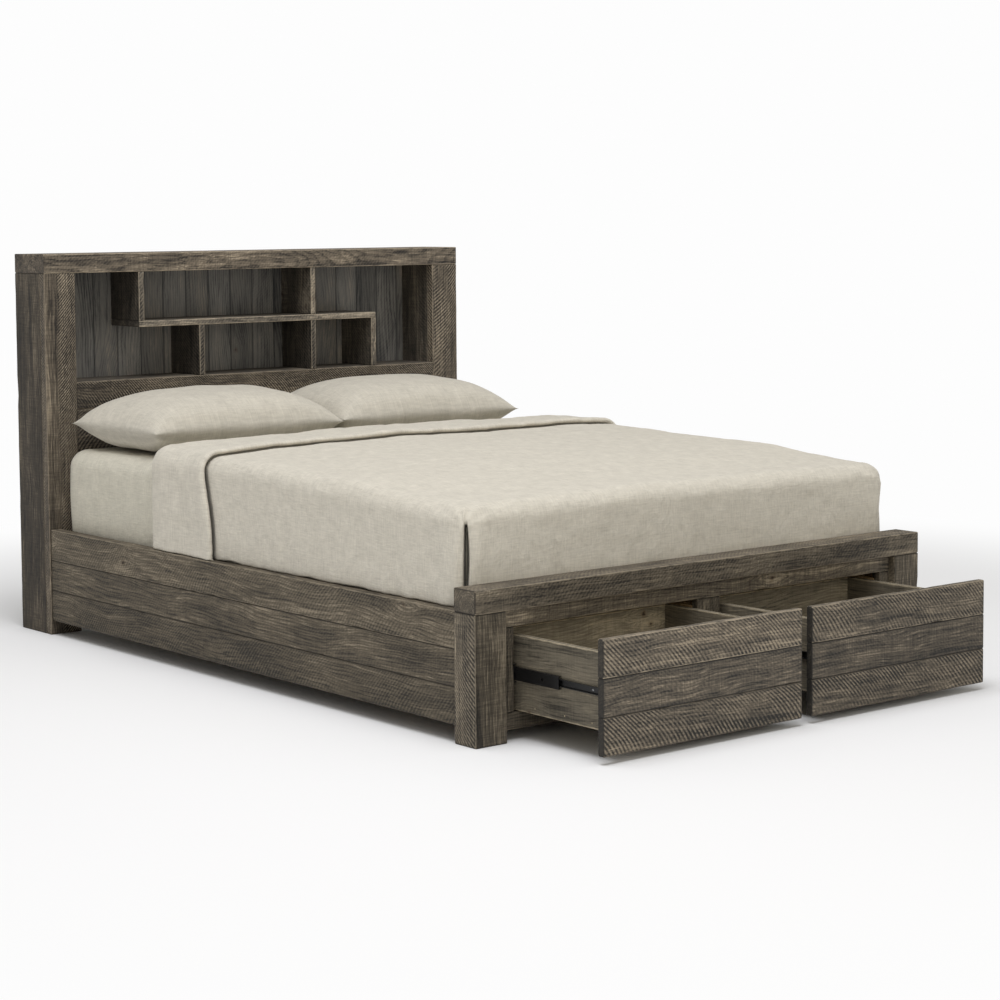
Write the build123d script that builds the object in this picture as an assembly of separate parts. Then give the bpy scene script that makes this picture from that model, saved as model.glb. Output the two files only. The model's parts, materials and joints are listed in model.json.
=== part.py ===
"""A queen platform bed: bookcase headboard, panelled side rails and two drawers in the footboard.

Millimetres. +Z is up, the headboard is at +Y and the drawers open towards -Y. The origin is on the
floor under the middle of the whole bed, with the drawers drawn out as they are modelled.
"""

import os

from build123d import *

os.makedirs("parts", exist_ok=True)

# ---- driving dimensions: mattress and the room left round it
MATTRESS_WIDTH = 1530
MATTRESS_LENGTH = 2030
MATTRESS_TOP = 585
MATTRESS_CORNER = 62  # radius of its corners, seen from above
MATTRESS_EDGE = 35  # radius of its top edges
BASE_DROP = 315  # of the ledgers below the mattress top
SIDE_ROOM = 10
FOOT_ROOM = 16
HEAD_ROOM = 5

# ---- side rails
RAIL_THICKNESS = 36
RAIL_INSET = 5
RAIL_BOTTOM = 45
RAIL_TOP = 333
RAIL_BOARDS = 3
LEDGER_WIDTH = 30
LEDGER_HEIGHT = 42

# ---- headboard
HEAD_HEIGHT = 1195
HEAD_DEPTH = 190
CAP_HEIGHT = 60
STILE_WIDTH = 108
STILE_THICKNESS = 30
HEAD_SIDE_THICKNESS = 22
INNER_WALL_THICKNESS = 20
PLANK_THICKNESS = 12
PLANK_PITCH = 87.5
PLANK_OFFSET = -17.5  # where the joint nearest the middle runs
NARROW_PLANK = 24  # an end plank no wider than this joins its neighbour
PANEL_THICKNESS = 22
PANEL_BOTTOM = 165
PANEL_BOARD = 135
CUBBY_FLOOR = 792
HEAD_RAIL_HEIGHT = 87
SHELF_TOP = 977
SHELF_THICKNESS = 20
SHELF_LEFT = -478
DIVIDER_B = -253  # left faces of the dividers
DIVIDER_C = 190
DIVIDER_D = 441

# ---- footboard and its face frame
POST_WIDTH = 100
POST_DEPTH = 85
FOOT_HEIGHT = 392
FOOT_CAP_HEIGHT = 60
FRAME_RECESS = 21
FRAME_THICKNESS = 22
FRAME_TOP_RAIL = 45
FRAME_BOTTOM = 27
FRAME_BOTTOM_RAIL = 43
FRAME_STILE = 40
FRAME_MIDDLE_STILE = 83

# ---- drawers
PULL = 338  # how far the drawers stand open
FRONT_THICKNESS = 20
FRONT_BOTTOM = 20
FRONT_LAP = 17  # of a front above the opening
FRONT_BOARDS = 3
FRONT_GAP = 36  # between the two fronts
FRONT_OVERLAP = 22  # of a front past its opening, at the outer end
BOX_BOARD = 15
BOX_BOTTOM = 73
BOX_CLEAR = 23  # of the box below the top of the opening
BASE_THICKNESS = 9
BASE_HEIGHT = 12  # of the base above the bottom edge of the sides
GROOVE = 6
GROOVE_PLAY = 0.5
BAY_PANEL = 18
BAY_BOTTOM = 45
BAY_MARGIN = 23  # of the bay behind the closed box
BAY_TOP_DROP = 20  # of the bay panels below the top of the openings
BAY_RAIL_HEIGHT = 110

# ---- ball-bearing slides
SLIDE_LENGTH = 450
SLIDE_SPACE = 12.7
SLIDE_SETBACK = 2  # of the slides behind the face frame
SLIDE_CENTRE = 168
SHEET = 1.2
CABINET_HALF = 22.5
MIDDLE_HALF = 16.5
DRAWER_HALF = 9.25
CABINET_LIP = 9.5
MIDDLE_BACK = 3
MIDDLE_TIP = 11.2
DRAWER_TIP = 5.5
CAGE_LENGTH = 120
CAGE_START = 160
CAGE_WIDTH = 3
OUTER_CAGE = 6.6  # middles of the two strips, from the cabinet face
INNER_CAGE = 8.2
CAGE_INSET = 0.9  # of the strip inside its balls, above and below
BALL_PLAY = 0.3
BALLS = 6
SCREW_RADIUS = 2
SCREW_HEAD = 3.4
SCREW_HEAD_HEIGHT = 1.4
SCREW_LENGTH = 13
SCREW_PLACES = (24, 52, 230, 415)  # behind the front end of the runner
CABINET_SCREW_PLACES = (52, 160, 300, 430)
MIDDLE_HOLE = 3.2
MIDDLE_HOLE_PLACE = 62

# ---- bed base
SLAT_THICKNESS = 18
SLAT_WIDTH = 72
SLAT_PITCH = 148
SLAT_FIRST = 70  # first slat behind the face frame
SLAT_PLAY = 1
BEAM_WIDTH = 40
BEAM_HEIGHT = 60
LEG_SIDE = 42
LEG_FIRST = 330
LEG_PITCH = 720
LEG_CLEAR = 200
GLIDE_RADIUS = 17
GLIDE_HEIGHT = 12

# ---- corner brackets between the rails and the posts
BRACKET_LEG = 52
BRACKET_HEIGHT = 110
BRACKET_THICKNESS = 3
BRACKET_BOTTOM = 110
BOLT_SHARES = (0.25, 0.75)  # heights of the bolts up a bracket
BOLT_RADIUS = 4
BOLT_HEAD = 7.5
BOLT_HEAD_HEIGHT = 3.5
BOLT_LENGTH = 22
BOLT_INSET = 26

# ---- bedding
SOFT_GAP = 0.3
DUVET_THICKNESS = 27
DUVET_SIDE = 21
DUVET_FOOT = 15
DUVET_FOLD = 582  # of its folded top end from the headboard
DUVET_FLAP = 262
FLAP_THICKNESS = 22
DUVET_EDGE = 30
PILLOW_WIDTH = 700
PILLOW_DEPTH = 480
PILLOW_HEIGHT = 170
PILLOW_ROUND = 60
PILLOW_BACK = 22  # from the headboard
PILLOW_GAP = 12
PILLOW_SHIFT = -30  # of the pair towards the left

# ---- small sizes shared by many pieces
ARRIS = 1.5  # chamfer on board edges
HEAVY_ARRIS = 2
FINE_ARRIS = 0.8
PLANK_ARRIS = 3
HOLE_PLAY = 0.05

# ---- places worked out from the sizes above
INNER_RAIL = MATTRESS_WIDTH / 2 + SIDE_ROOM
OUTER_RAIL = INNER_RAIL + RAIL_THICKNESS
HALF = OUTER_RAIL + RAIL_INSET
FOOT_TO_HEAD = POST_DEPTH + FOOT_ROOM + MATTRESS_LENGTH + HEAD_ROOM
FOOT = -(FOOT_TO_HEAD + HEAD_DEPTH - PULL) / 2  # front of the foot posts
HEAD = FOOT + FOOT_TO_HEAD  # front of the headboard
BACK = HEAD + HEAD_DEPTH
POST_BACK = FOOT + POST_DEPTH
CAP_BOTTOM = HEAD_HEIGHT - CAP_HEIGHT
FOOT_CAP_BOTTOM = FOOT_HEIGHT - FOOT_CAP_HEIGHT
CUBBY_HALF = HALF - STILE_WIDTH
PLANK_FACE = BACK - PLANK_THICKNESS
FRAME_FRONT = FOOT + FRAME_RECESS
FRAME_BACK = FRAME_FRONT + FRAME_THICKNESS
POST_INNER = HALF - POST_WIDTH
BAY_OUTER = POST_INNER - FRAME_STILE
BAY_INNER = FRAME_MIDDLE_STILE / 2
OPENING_TOP = FOOT_CAP_BOTTOM - FRAME_TOP_RAIL
OPENING_BOTTOM = FRAME_BOTTOM + FRAME_BOTTOM_RAIL
FRONT_TOP = OPENING_TOP + FRONT_LAP
BOX_TOP = OPENING_TOP - BOX_CLEAR
FRONT_FACE = FOOT - PULL
BOX_FRONT = FRONT_FACE + FRONT_THICKNESS
BOX_LENGTH = SLIDE_LENGTH
SLIDE_FRONT = FRAME_FRONT + SLIDE_SETBACK
BAY_TOP = OPENING_TOP - BAY_TOP_DROP
BAY_BACK = FOOT + FRONT_THICKNESS + BOX_LENGTH + BAY_MARGIN
LEDGER_TOP = MATTRESS_TOP - BASE_DROP
BEAM_BOTTOM = LEDGER_TOP - BEAM_HEIGHT
SLAT_TOP = LEDGER_TOP + SLAT_THICKNESS

nodes = {}


def block(x, y, z):
    """A box from three (low, high) pairs, in any order."""
    sides = [sorted(pair) for pair in (x, y, z)]
    size = [high - low for low, high in sides]
    middle = [(low + high) / 2 for low, high in sides]
    return Pos(*middle) * Box(*size)


def board(x, y, z, arris=ARRIS):
    """A board with every edge eased."""
    return chamfer(block(x, y, z).edges(), arris)


def mirrored(side, x):
    """An x range given for the right-hand side, moved to the side asked for."""
    return tuple(side * value for value in x)


def rod(radius, start, direction, length):
    """A cylinder that starts at a point and runs along a direction."""
    return extrude(Plane(origin=start, z_dir=direction) * Circle(radius), amount=length)


def group(solids):
    """Several separate solids kept in one node."""
    return Compound(children=list(solids))


def stacked(x, y, bottom, top, count):
    """Boards of one height laid edge to edge, one above the other."""
    height = (top - bottom) / count
    return [board(x, y, (bottom + i * height, bottom + (i + 1) * height)) for i in range(count)]


# ---- brackets and their bolts, whose holes the rails, posts and stiles share
def bracket_bolts(side, face, out):
    """Bolts of one corner as (start, direction): one in the rail, one in the post, at two heights.

    face is the post's face that the bracket lies on, and out points from it into the bed."""
    places = []
    for share in BOLT_SHARES:
        z = BRACKET_BOTTOM + share * BRACKET_HEIGHT
        rail = (side * (INNER_RAIL - BRACKET_THICKNESS), face + out * BOLT_INSET, z)
        post = (side * (INNER_RAIL - BOLT_INSET), face + out * BRACKET_THICKNESS, z)
        places += [(rail, (side, 0, 0)), (post, (0, -out, 0))]
    return places


CORNERS = [(side, face, out) for side in (-1, 1) for face, out in ((POST_BACK, 1), (HEAD, -1))]
BOLTS = {corner: bracket_bolts(*corner) for corner in CORNERS}


def bolt_holes(side):
    """Every bolt hole on one side of the bed."""
    return [
        rod(BOLT_RADIUS + HOLE_PLAY, start, way, BOLT_LENGTH + HOLE_PLAY)
        for corner in CORNERS
        if corner[0] == side
        for start, way in BOLTS[corner]
    ]


def drilled(solid, holes):
    """The solid with those holes that meet it cut away."""
    for hole in holes:
        solid = solid - hole
    return solid


def make_brackets():
    plates, bolts = [], []
    for side, face, out in CORNERS:
        z = (BRACKET_BOTTOM, BRACKET_BOTTOM + BRACKET_HEIGHT)
        inner = INNER_RAIL - BRACKET_THICKNESS
        along = block(mirrored(side, (inner, INNER_RAIL)), (face, face + out * BRACKET_LEG), z)
        over = block(
            mirrored(side, (INNER_RAIL - BRACKET_LEG, INNER_RAIL)),
            (face, face + out * BRACKET_THICKNESS),
            z,
        )
        plates.append(drilled(along + over, bolt_holes(side)))
        for start, way in BOLTS[side, face, out]:
            head_start = Vector(*start) - Vector(*way) * BOLT_HEAD_HEIGHT
            head = rod(BOLT_HEAD, head_start, way, BOLT_HEAD_HEIGHT)
            bolts.append(head + rod(BOLT_RADIUS, start, way, BOLT_LENGTH))
    nodes["rail_brackets"] = group(plates)
    nodes["rail_bolts"] = group(bolts)


# ---- headboard
def make_headboard():
    cap_z = (CAP_BOTTOM, HEAD_HEIGHT)
    nodes["headboard_cap"] = board((-HALF, HALF), (HEAD, BACK), cap_z, HEAVY_ARRIS)
    walls = []
    for side, word in ((-1, "left"), (1, "right")):
        stile = board(
            mirrored(side, (CUBBY_HALF, HALF)),
            (HEAD, HEAD + STILE_THICKNESS),
            (0, CAP_BOTTOM),
            HEAVY_ARRIS,
        )
        nodes[f"headboard_stile_{word}"] = drilled(stile, bolt_holes(side))
        nodes[f"headboard_side_{word}"] = board(
            mirrored(side, (HALF - HEAD_SIDE_THICKNESS, HALF)),
            (HEAD + STILE_THICKNESS, BACK),
            (0, CAP_BOTTOM),
        )
        walls.append(
            block(
                mirrored(side, (CUBBY_HALF, CUBBY_HALF + INNER_WALL_THICKNESS)),
                (HEAD + STILE_THICKNESS, PLANK_FACE),
                (PANEL_BOTTOM, CAP_BOTTOM),
            )
        )
    nodes["headboard_inner_walls"] = group(walls)
    make_headboard_panel()
    make_headboard_planks()
    make_bookcase()


def make_headboard_panel():
    """The flush top rail and the boards below it, behind the pillows and the mattress."""
    x, y = (-CUBBY_HALF, CUBBY_HALF), (HEAD, HEAD + PANEL_THICKNESS)
    rail_bottom = CUBBY_FLOOR - HEAD_RAIL_HEIGHT
    nodes["headboard_rail"] = board(x, y, (rail_bottom, CUBBY_FLOOR))
    count = round((rail_bottom - PANEL_BOTTOM) / PANEL_BOARD)
    nodes["headboard_panel_boards"] = group(stacked(x, y, PANEL_BOTTOM, rail_bottom, count))


def make_headboard_planks():
    """Upright boards that close the back, each joint a V."""
    end = HALF - HEAD_SIDE_THICKNESS
    reach = int(2 * end // PLANK_PITCH) + 2
    joints = [PLANK_OFFSET + i * PLANK_PITCH for i in range(-reach, reach)]
    edges = [-end, *[x for x in joints if abs(x) < end - NARROW_PLANK], end]
    z = (PANEL_BOTTOM, CAP_BOTTOM)
    nodes["headboard_back_planks"] = group(
        chamfer(block(pair, (PLANK_FACE, BACK), z).edges().filter_by(Axis.Z), PLANK_ARRIS)
        for pair in zip(edges, edges[1:])
    )


def make_bookcase():
    y = (HEAD, PLANK_FACE)
    behind_rail = (HEAD + PANEL_THICKNESS, PLANK_FACE)
    low = (CUBBY_FLOOR, SHELF_TOP - SHELF_THICKNESS)
    high = (SHELF_TOP, CAP_BOTTOM)
    nodes["cubby_floor"] = block(
        (-CUBBY_HALF, CUBBY_HALF), behind_rail, (CUBBY_FLOOR - SHELF_THICKNESS, CUBBY_FLOOR)
    )

    def upright(left, z):
        return board((left, left + SHELF_THICKNESS), y, z, FINE_ARRIS)

    nodes["cubby_shelf"] = board(
        (SHELF_LEFT, DIVIDER_D + SHELF_THICKNESS),
        y,
        (SHELF_TOP - SHELF_THICKNESS, SHELF_TOP),
        FINE_ARRIS,
    )
    nodes["cubby_divider_left_hanging"] = upright(SHELF_LEFT, high)
    nodes["cubby_divider_left_standing"] = upright(DIVIDER_B, low)
    nodes["cubby_divider_middle"] = group([upright(DIVIDER_C, low), upright(DIVIDER_C, high)])
    nodes["cubby_divider_right"] = upright(DIVIDER_D, low)


# ---- side rails and bed base
def make_rails():
    y = (POST_BACK, HEAD)
    ledgers = []
    for side, word in ((-1, "left"), (1, "right")):
        boards = stacked(mirrored(side, (INNER_RAIL, OUTER_RAIL)), y, RAIL_BOTTOM, RAIL_TOP, RAIL_BOARDS)
        nodes[f"side_rail_{word}"] = group(drilled(each, bolt_holes(side)) for each in boards)
        ledgers.append(
            block(
                mirrored(side, (INNER_RAIL - LEDGER_WIDTH, INNER_RAIL)),
                (POST_BACK, HEAD),
                (LEDGER_TOP - LEDGER_HEIGHT, LEDGER_TOP),
            )
        )
    nodes["slat_ledgers"] = group(ledgers)


def make_base():
    nodes["centre_beam"] = block(
        (-BEAM_WIDTH / 2, BEAM_WIDTH / 2), (FRAME_BACK, HEAD), (BEAM_BOTTOM, LEDGER_TOP)
    )
    slats, y = [], POST_BACK + SLAT_FIRST
    while y + SLAT_WIDTH < HEAD - HEAD_ROOM:
        reach = INNER_RAIL - SLAT_PLAY
        slats.append(board((-reach, reach), (y, y + SLAT_WIDTH), (LEDGER_TOP, SLAT_TOP)))
        y += SLAT_PITCH
    nodes["slats"] = group(slats)
    legs, glides, y = [], [], BAY_BACK + LEG_FIRST
    while y < HEAD - LEG_CLEAR:
        legs.append(
            board(
                (-LEG_SIDE / 2, LEG_SIDE / 2),
                (y - LEG_SIDE / 2, y + LEG_SIDE / 2),
                (GLIDE_HEIGHT, BEAM_BOTTOM),
            )
        )
        glides.append(rod(GLIDE_RADIUS, (0, y, 0), (0, 0, 1), GLIDE_HEIGHT))
        y += LEG_PITCH
    nodes["centre_legs"] = group(legs)
    nodes["leg_glides"] = group(glides)


# ---- footboard
def make_footboard():
    cap_z = (FOOT_CAP_BOTTOM, FOOT_HEIGHT)
    nodes["foot_cap"] = board((-HALF, HALF), (FOOT, POST_BACK), cap_z, HEAVY_ARRIS)
    y = (FRAME_FRONT, FRAME_BACK)
    wide = (-POST_INNER, POST_INNER)
    upright = (OPENING_BOTTOM, OPENING_TOP)
    nodes["frame_top_rail"] = board(wide, y, (OPENING_TOP, FOOT_CAP_BOTTOM))
    nodes["frame_bottom_rail"] = board(wide, y, (FRAME_BOTTOM, OPENING_BOTTOM))
    nodes["frame_stile_middle"] = board((-BAY_INNER, BAY_INNER), y, upright)
    for side, word in ((-1, "left"), (1, "right")):
        post_x = mirrored(side, (POST_INNER, HALF))
        post = board(post_x, (FOOT, POST_BACK), (0, FOOT_CAP_BOTTOM), HEAVY_ARRIS)
        nodes[f"foot_post_{word}"] = drilled(post, bolt_holes(side))
        nodes[f"frame_stile_{word}"] = board(mirrored(side, (BAY_OUTER, POST_INNER)), y, upright)


# ---- slides: (cabinet face, way towards the drawer) of the two slides of each drawer
SLIDES = {
    "left": ((-BAY_OUTER, 1), (-BAY_INNER, -1)),
    "right": ((BAY_INNER, 1), (BAY_OUTER, -1)),
}


def away(face, way, near, far):
    """An x range measured from a slide's cabinet face towards its drawer."""
    return (face + way * near, face + way * far)


def channel(face, way, web, tip, half, front):
    """A steel C: its web begins at web and its two flanges end at tip, measured from the face."""
    step = SHEET if tip > web else -SHEET
    y = (front, front + SLIDE_LENGTH)
    whole = block(away(face, way, web, tip), y, (SLIDE_CENTRE - half, SLIDE_CENTRE + half))
    inside = half - SHEET
    hollow = (SLIDE_CENTRE - inside, SLIDE_CENTRE + inside)
    return whole - block(away(face, way, web + step, tip + step), y, hollow)


def ball_strip(face, way, x_middle, track, front, below):
    """A retainer strip with its row of balls; track is how far its two flanges are from the centre."""
    low, high = track
    radius = (high - low) / 2 - BALL_PLAY
    height = SLIDE_CENTRE + (-1 if below else 1) * (low + high) / 2
    reach = radius - CAGE_INSET
    x = away(face, way, x_middle - CAGE_WIDTH / 2, x_middle + CAGE_WIDTH / 2)
    strip = block(x, (front, front + CAGE_LENGTH), (height - reach, height + reach))
    step = CAGE_LENGTH / BALLS
    for i in range(BALLS):
        centre = (face + way * x_middle, front + (i + 0.5) * step, height)
        strip = strip + Pos(*centre) * Sphere(radius)
    return strip


def screw(face_x, way, y):
    """A pan-head wood screw driven along x from a seat at face_x, and the hole it needs."""
    seat = (face_x, y, SLIDE_CENTRE)
    head_start = (face_x - way * SCREW_HEAD_HEIGHT, y, SLIDE_CENTRE)
    head = rod(SCREW_HEAD, head_start, (way, 0, 0), SCREW_HEAD_HEIGHT)
    shank = rod(SCREW_RADIUS, seat, (way, 0, 0), SCREW_LENGTH)
    hole = rod(SCREW_RADIUS + HOLE_PLAY, seat, (way, 0, 0), SCREW_LENGTH + HOLE_PLAY)
    return head + shank, hole


def runner_screws(face, way):
    """Screws through the runner on a drawer, into the drawer's side."""
    seat = face + way * (SLIDE_SPACE - SHEET)
    return [screw(seat, way, SLIDE_FRONT - PULL + place) for place in SCREW_PLACES]


def cabinet_screws_of(face, way):
    """Screws through the fixed member of a slide, into the bay panel."""
    return [screw(face + way * SHEET, -way, SLIDE_FRONT + place) for place in CABINET_SCREW_PLACES]


def make_slides():
    cabinet, panels, cabinet_screws = [], [], []
    for word, pair in SLIDES.items():
        middle, cage_outer, cage_inner = [], [], []
        for face, way in pair:
            fixings = cabinet_screws_of(face, way)
            holes = [hole for _, hole in fixings]
            cabinet_screws += [made for made, _ in fixings]
            rail = channel(face, way, 0, CABINET_LIP, CABINET_HALF, SLIDE_FRONT)
            cabinet.append(drilled(rail, holes))
            panel = block(
                away(face, way, -BAY_PANEL, 0), (FRAME_BACK, BAY_BACK), (BAY_BOTTOM, BAY_TOP)
            )
            panels.append(drilled(panel, holes))
            drawn = channel(face, way, MIDDLE_BACK, MIDDLE_TIP, MIDDLE_HALF, SLIDE_FRONT - PULL / 2)
            eye = rod(
                MIDDLE_HOLE,
                (face, SLIDE_FRONT - PULL / 2 + MIDDLE_HOLE_PLACE, SLIDE_CENTRE),
                (way, 0, 0),
                MIDDLE_BACK + 2 * SHEET,
            )
            middle.append(drawn - eye)
            start = SLIDE_FRONT + CAGE_START
            outer_track = (MIDDLE_HALF, CABINET_HALF - SHEET)
            inner_track = (DRAWER_HALF, MIDDLE_HALF - SHEET)
            for below in (False, True):
                outer_front, inner_front = start - PULL / 4, start - PULL * 3 / 4
                cage_outer.append(ball_strip(face, way, OUTER_CAGE, outer_track, outer_front, below))
                cage_inner.append(ball_strip(face, way, INNER_CAGE, inner_track, inner_front, below))
        nodes[f"slide_middle_members_{word}"] = group(middle)
        nodes[f"slide_outer_balls_{word}"] = group(cage_outer)
        nodes[f"slide_inner_balls_{word}"] = group(cage_inner)
    nodes["slide_cabinet_members"] = group(cabinet)
    nodes["bay_panels"] = group(panels)
    nodes["cabinet_slide_screws"] = group(cabinet_screws)
    reach = BAY_OUTER + BAY_PANEL
    nodes["bay_back_rail"] = board(
        (-reach, reach), (BAY_BACK, BAY_BACK + BAY_PANEL), (BAY_BOTTOM, BAY_BOTTOM + BAY_RAIL_HEIGHT)
    )


# ---- drawers
def make_drawer(word, side):
    """One drawer; side is the way from the bed's middle to it."""
    outer, inner = BAY_OUTER - SLIDE_SPACE, BAY_INNER + SLIDE_SPACE
    front_ends = (FRONT_GAP / 2, BAY_OUTER + FRONT_OVERLAP)
    name = f"drawer_{word}"
    nodes[f"{name}_front"] = group(
        stacked(mirrored(side, front_ends), (FRONT_FACE, BOX_FRONT), FRONT_BOTTOM, FRONT_TOP, FRONT_BOARDS)
    )
    y = (BOX_FRONT, BOX_FRONT + BOX_LENGTH)
    z = (BOX_BOTTOM, BOX_TOP)
    base_z = (BOX_BOTTOM + BASE_HEIGHT, BOX_BOTTOM + BASE_HEIGHT + BASE_THICKNESS)
    within = (inner + BOX_BOARD, outer - BOX_BOARD)
    between = (y[0] + BOX_BOARD, y[1] - BOX_BOARD)
    housing = block(
        mirrored(side, (within[0] - GROOVE, within[1] + GROOVE)),
        (between[0] - GROOVE, between[1] + GROOVE),
        base_z,
    )
    held = GROOVE - GROOVE_PLAY
    nodes[f"{name}_base"] = block(
        mirrored(side, (within[0] - held, within[1] + held)),
        (between[0] - held, between[1] + held),
        base_z,
    )
    screws, holes = [], []
    for face, way in SLIDES[word]:
        for made, hole in runner_screws(face, way):
            screws.append(made)
            holes.append(hole)
    sides = [block(mirrored(side, x), y, z) for x in ((inner, within[0]), (within[1], outer))]
    nodes[f"{name}_sides"] = group(drilled(each - housing, holes) for each in sides)
    end_x = mirrored(side, within)
    nodes[f"{name}_box_front"] = block(end_x, (y[0], between[0]), z) - housing
    nodes[f"{name}_back"] = block(end_x, (between[1], y[1]), z) - housing
    runners = [
        channel(face, way, SLIDE_SPACE, DRAWER_TIP, DRAWER_HALF, SLIDE_FRONT - PULL)
        for face, way in SLIDES[word]
    ]
    nodes[f"{name}_runners"] = group(drilled(each, holes) for each in runners)
    nodes[f"{name}_runner_screws"] = group(screws)


# ---- bedding
def soft_block(x, y, z, corner, edge):
    """A padded slab: corners rounded in plan, and its top edge rounded over."""
    slab = block(x, y, z)
    slab = fillet(slab.edges().filter_by(Axis.Z), corner)
    return fillet(slab.edges().group_by(Axis.Z)[-1], edge)


def make_bedding():
    half = MATTRESS_WIDTH / 2
    y = (POST_BACK + FOOT_ROOM, HEAD - HEAD_ROOM)
    nodes["mattress"] = soft_block(
        (-half, half), y, (SLAT_TOP + SOFT_GAP, MATTRESS_TOP), MATTRESS_CORNER, MATTRESS_EDGE
    )
    make_duvet(half, y)
    middle_y = HEAD - PILLOW_BACK - PILLOW_DEPTH / 2
    for side, word in ((-1, "left"), (1, "right")):
        middle_x = PILLOW_SHIFT + side * (PILLOW_GAP + PILLOW_WIDTH) / 2
        z = MATTRESS_TOP + SOFT_GAP + PILLOW_HEIGHT / 2
        pillow = Pos(middle_x, middle_y, z) * Box(PILLOW_WIDTH, PILLOW_DEPTH, PILLOW_HEIGHT)
        nodes[f"pillow_{word}"] = fillet(pillow.edges(), PILLOW_ROUND)


def make_duvet(half, y):
    """The duvet as a cap over the mattress, thicker where its top end is folded back."""
    outer_x = half + SOFT_GAP + DUVET_SIDE
    front = POST_BACK + FOOT_ROOM - SOFT_GAP - DUVET_FOOT
    fold = HEAD - DUVET_FOLD
    top = MATTRESS_TOP + SOFT_GAP + DUVET_THICKNESS
    hem = RAIL_TOP + SOFT_GAP
    corner = MATTRESS_CORNER + DUVET_FOOT
    past_fold = fold + 2 * corner + DUVET_EDGE
    cover = soft_block((-outer_x, outer_x), (front, past_fold), (hem, top), corner, DUVET_EDGE)
    cover = cover & block((-outer_x, outer_x), (front, fold), (hem, top))
    flap = soft_block(
        (-outer_x, outer_x),
        (fold - DUVET_FLAP, fold),
        (MATTRESS_TOP, top + FLAP_THICKNESS),
        FLAP_THICKNESS,
        FLAP_THICKNESS / 2,
    )
    room = soft_block(
        (-half - SOFT_GAP, half + SOFT_GAP),
        (y[0] - SOFT_GAP, y[1]),
        (0, MATTRESS_TOP + SOFT_GAP),
        MATTRESS_CORNER,
        MATTRESS_EDGE,
    )
    nodes["duvet"] = cover + flap - room


make_brackets()
make_headboard()
make_rails()
make_base()
make_footboard()
make_slides()
make_drawer("left", -1)
make_drawer("right", 1)
make_bedding()

for name, shape in nodes.items():
    export_step(shape, f"parts/{name}.step")
print(len(nodes), "nodes")
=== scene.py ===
"""Looks of a queen platform bed with a bookcase headboard and two drawers in its footboard.

Metres. The bed's own frame is loaded first, and every board, screw and cloth is made round it.
"""

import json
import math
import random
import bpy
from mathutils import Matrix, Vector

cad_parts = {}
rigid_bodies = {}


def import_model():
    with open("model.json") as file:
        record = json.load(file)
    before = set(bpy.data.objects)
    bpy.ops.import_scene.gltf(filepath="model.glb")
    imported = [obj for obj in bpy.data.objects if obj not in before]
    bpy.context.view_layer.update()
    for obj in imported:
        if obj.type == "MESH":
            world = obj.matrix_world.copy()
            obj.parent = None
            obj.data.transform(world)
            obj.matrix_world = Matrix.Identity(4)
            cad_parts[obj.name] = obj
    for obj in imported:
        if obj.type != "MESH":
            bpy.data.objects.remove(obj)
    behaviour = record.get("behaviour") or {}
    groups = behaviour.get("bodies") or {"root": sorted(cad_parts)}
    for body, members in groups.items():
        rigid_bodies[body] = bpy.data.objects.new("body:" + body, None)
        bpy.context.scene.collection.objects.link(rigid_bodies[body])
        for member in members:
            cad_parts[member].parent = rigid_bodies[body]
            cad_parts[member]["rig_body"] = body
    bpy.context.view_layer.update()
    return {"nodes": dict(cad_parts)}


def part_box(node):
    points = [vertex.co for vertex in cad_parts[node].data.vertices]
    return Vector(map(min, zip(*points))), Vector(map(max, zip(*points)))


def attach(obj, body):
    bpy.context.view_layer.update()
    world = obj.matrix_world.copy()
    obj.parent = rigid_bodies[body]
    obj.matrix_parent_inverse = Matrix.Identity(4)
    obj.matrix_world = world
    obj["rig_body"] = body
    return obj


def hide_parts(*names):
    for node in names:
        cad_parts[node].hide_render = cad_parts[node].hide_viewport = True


bl_info = {
    "name": "Storage Bed Looks",
    "version": (1, 0, 0),
    "blender": (4, 5, 0),
    "location": "3D View > Sidebar > Storage Bed",
    "description": "Weathered boards, slides, bedding and a studio round a storage bed's frame",
    "category": "Object",
}

import bmesh
import bpy
import numpy as np
from bpy.props import FloatProperty, FloatVectorProperty, PointerProperty
from mathutils import Matrix, Vector, noise

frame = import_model()


# ---- sizes and colours that a user may change
def tone(red, green, blue):
    """A display colour, 0 to 255, as the linear colour that materials use."""
    linear = []
    for value in (red, green, blue):
        share = value / 255
        linear.append(share / 12.92 if share <= 0.04045 else ((share + 0.055) / 1.055) ** 2.4)
    return tuple(linear)


def colour(name, description, rgb):
    """A property that holds a colour, given as a display colour."""
    return FloatVectorProperty(
        name=name, description=description, default=tone(*rgb), subtype="COLOR", min=0, max=1
    )


def length(name, description, metres):
    """A property that holds a length."""
    return FloatProperty(name=name, description=description, default=metres, min=0, unit="LENGTH")


def share(name, description, value, highest=1):
    """A property that holds a strength from 0 upwards."""
    return FloatProperty(
        name=name, description=description, default=value, min=0, max=highest, subtype="FACTOR"
    )


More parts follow.
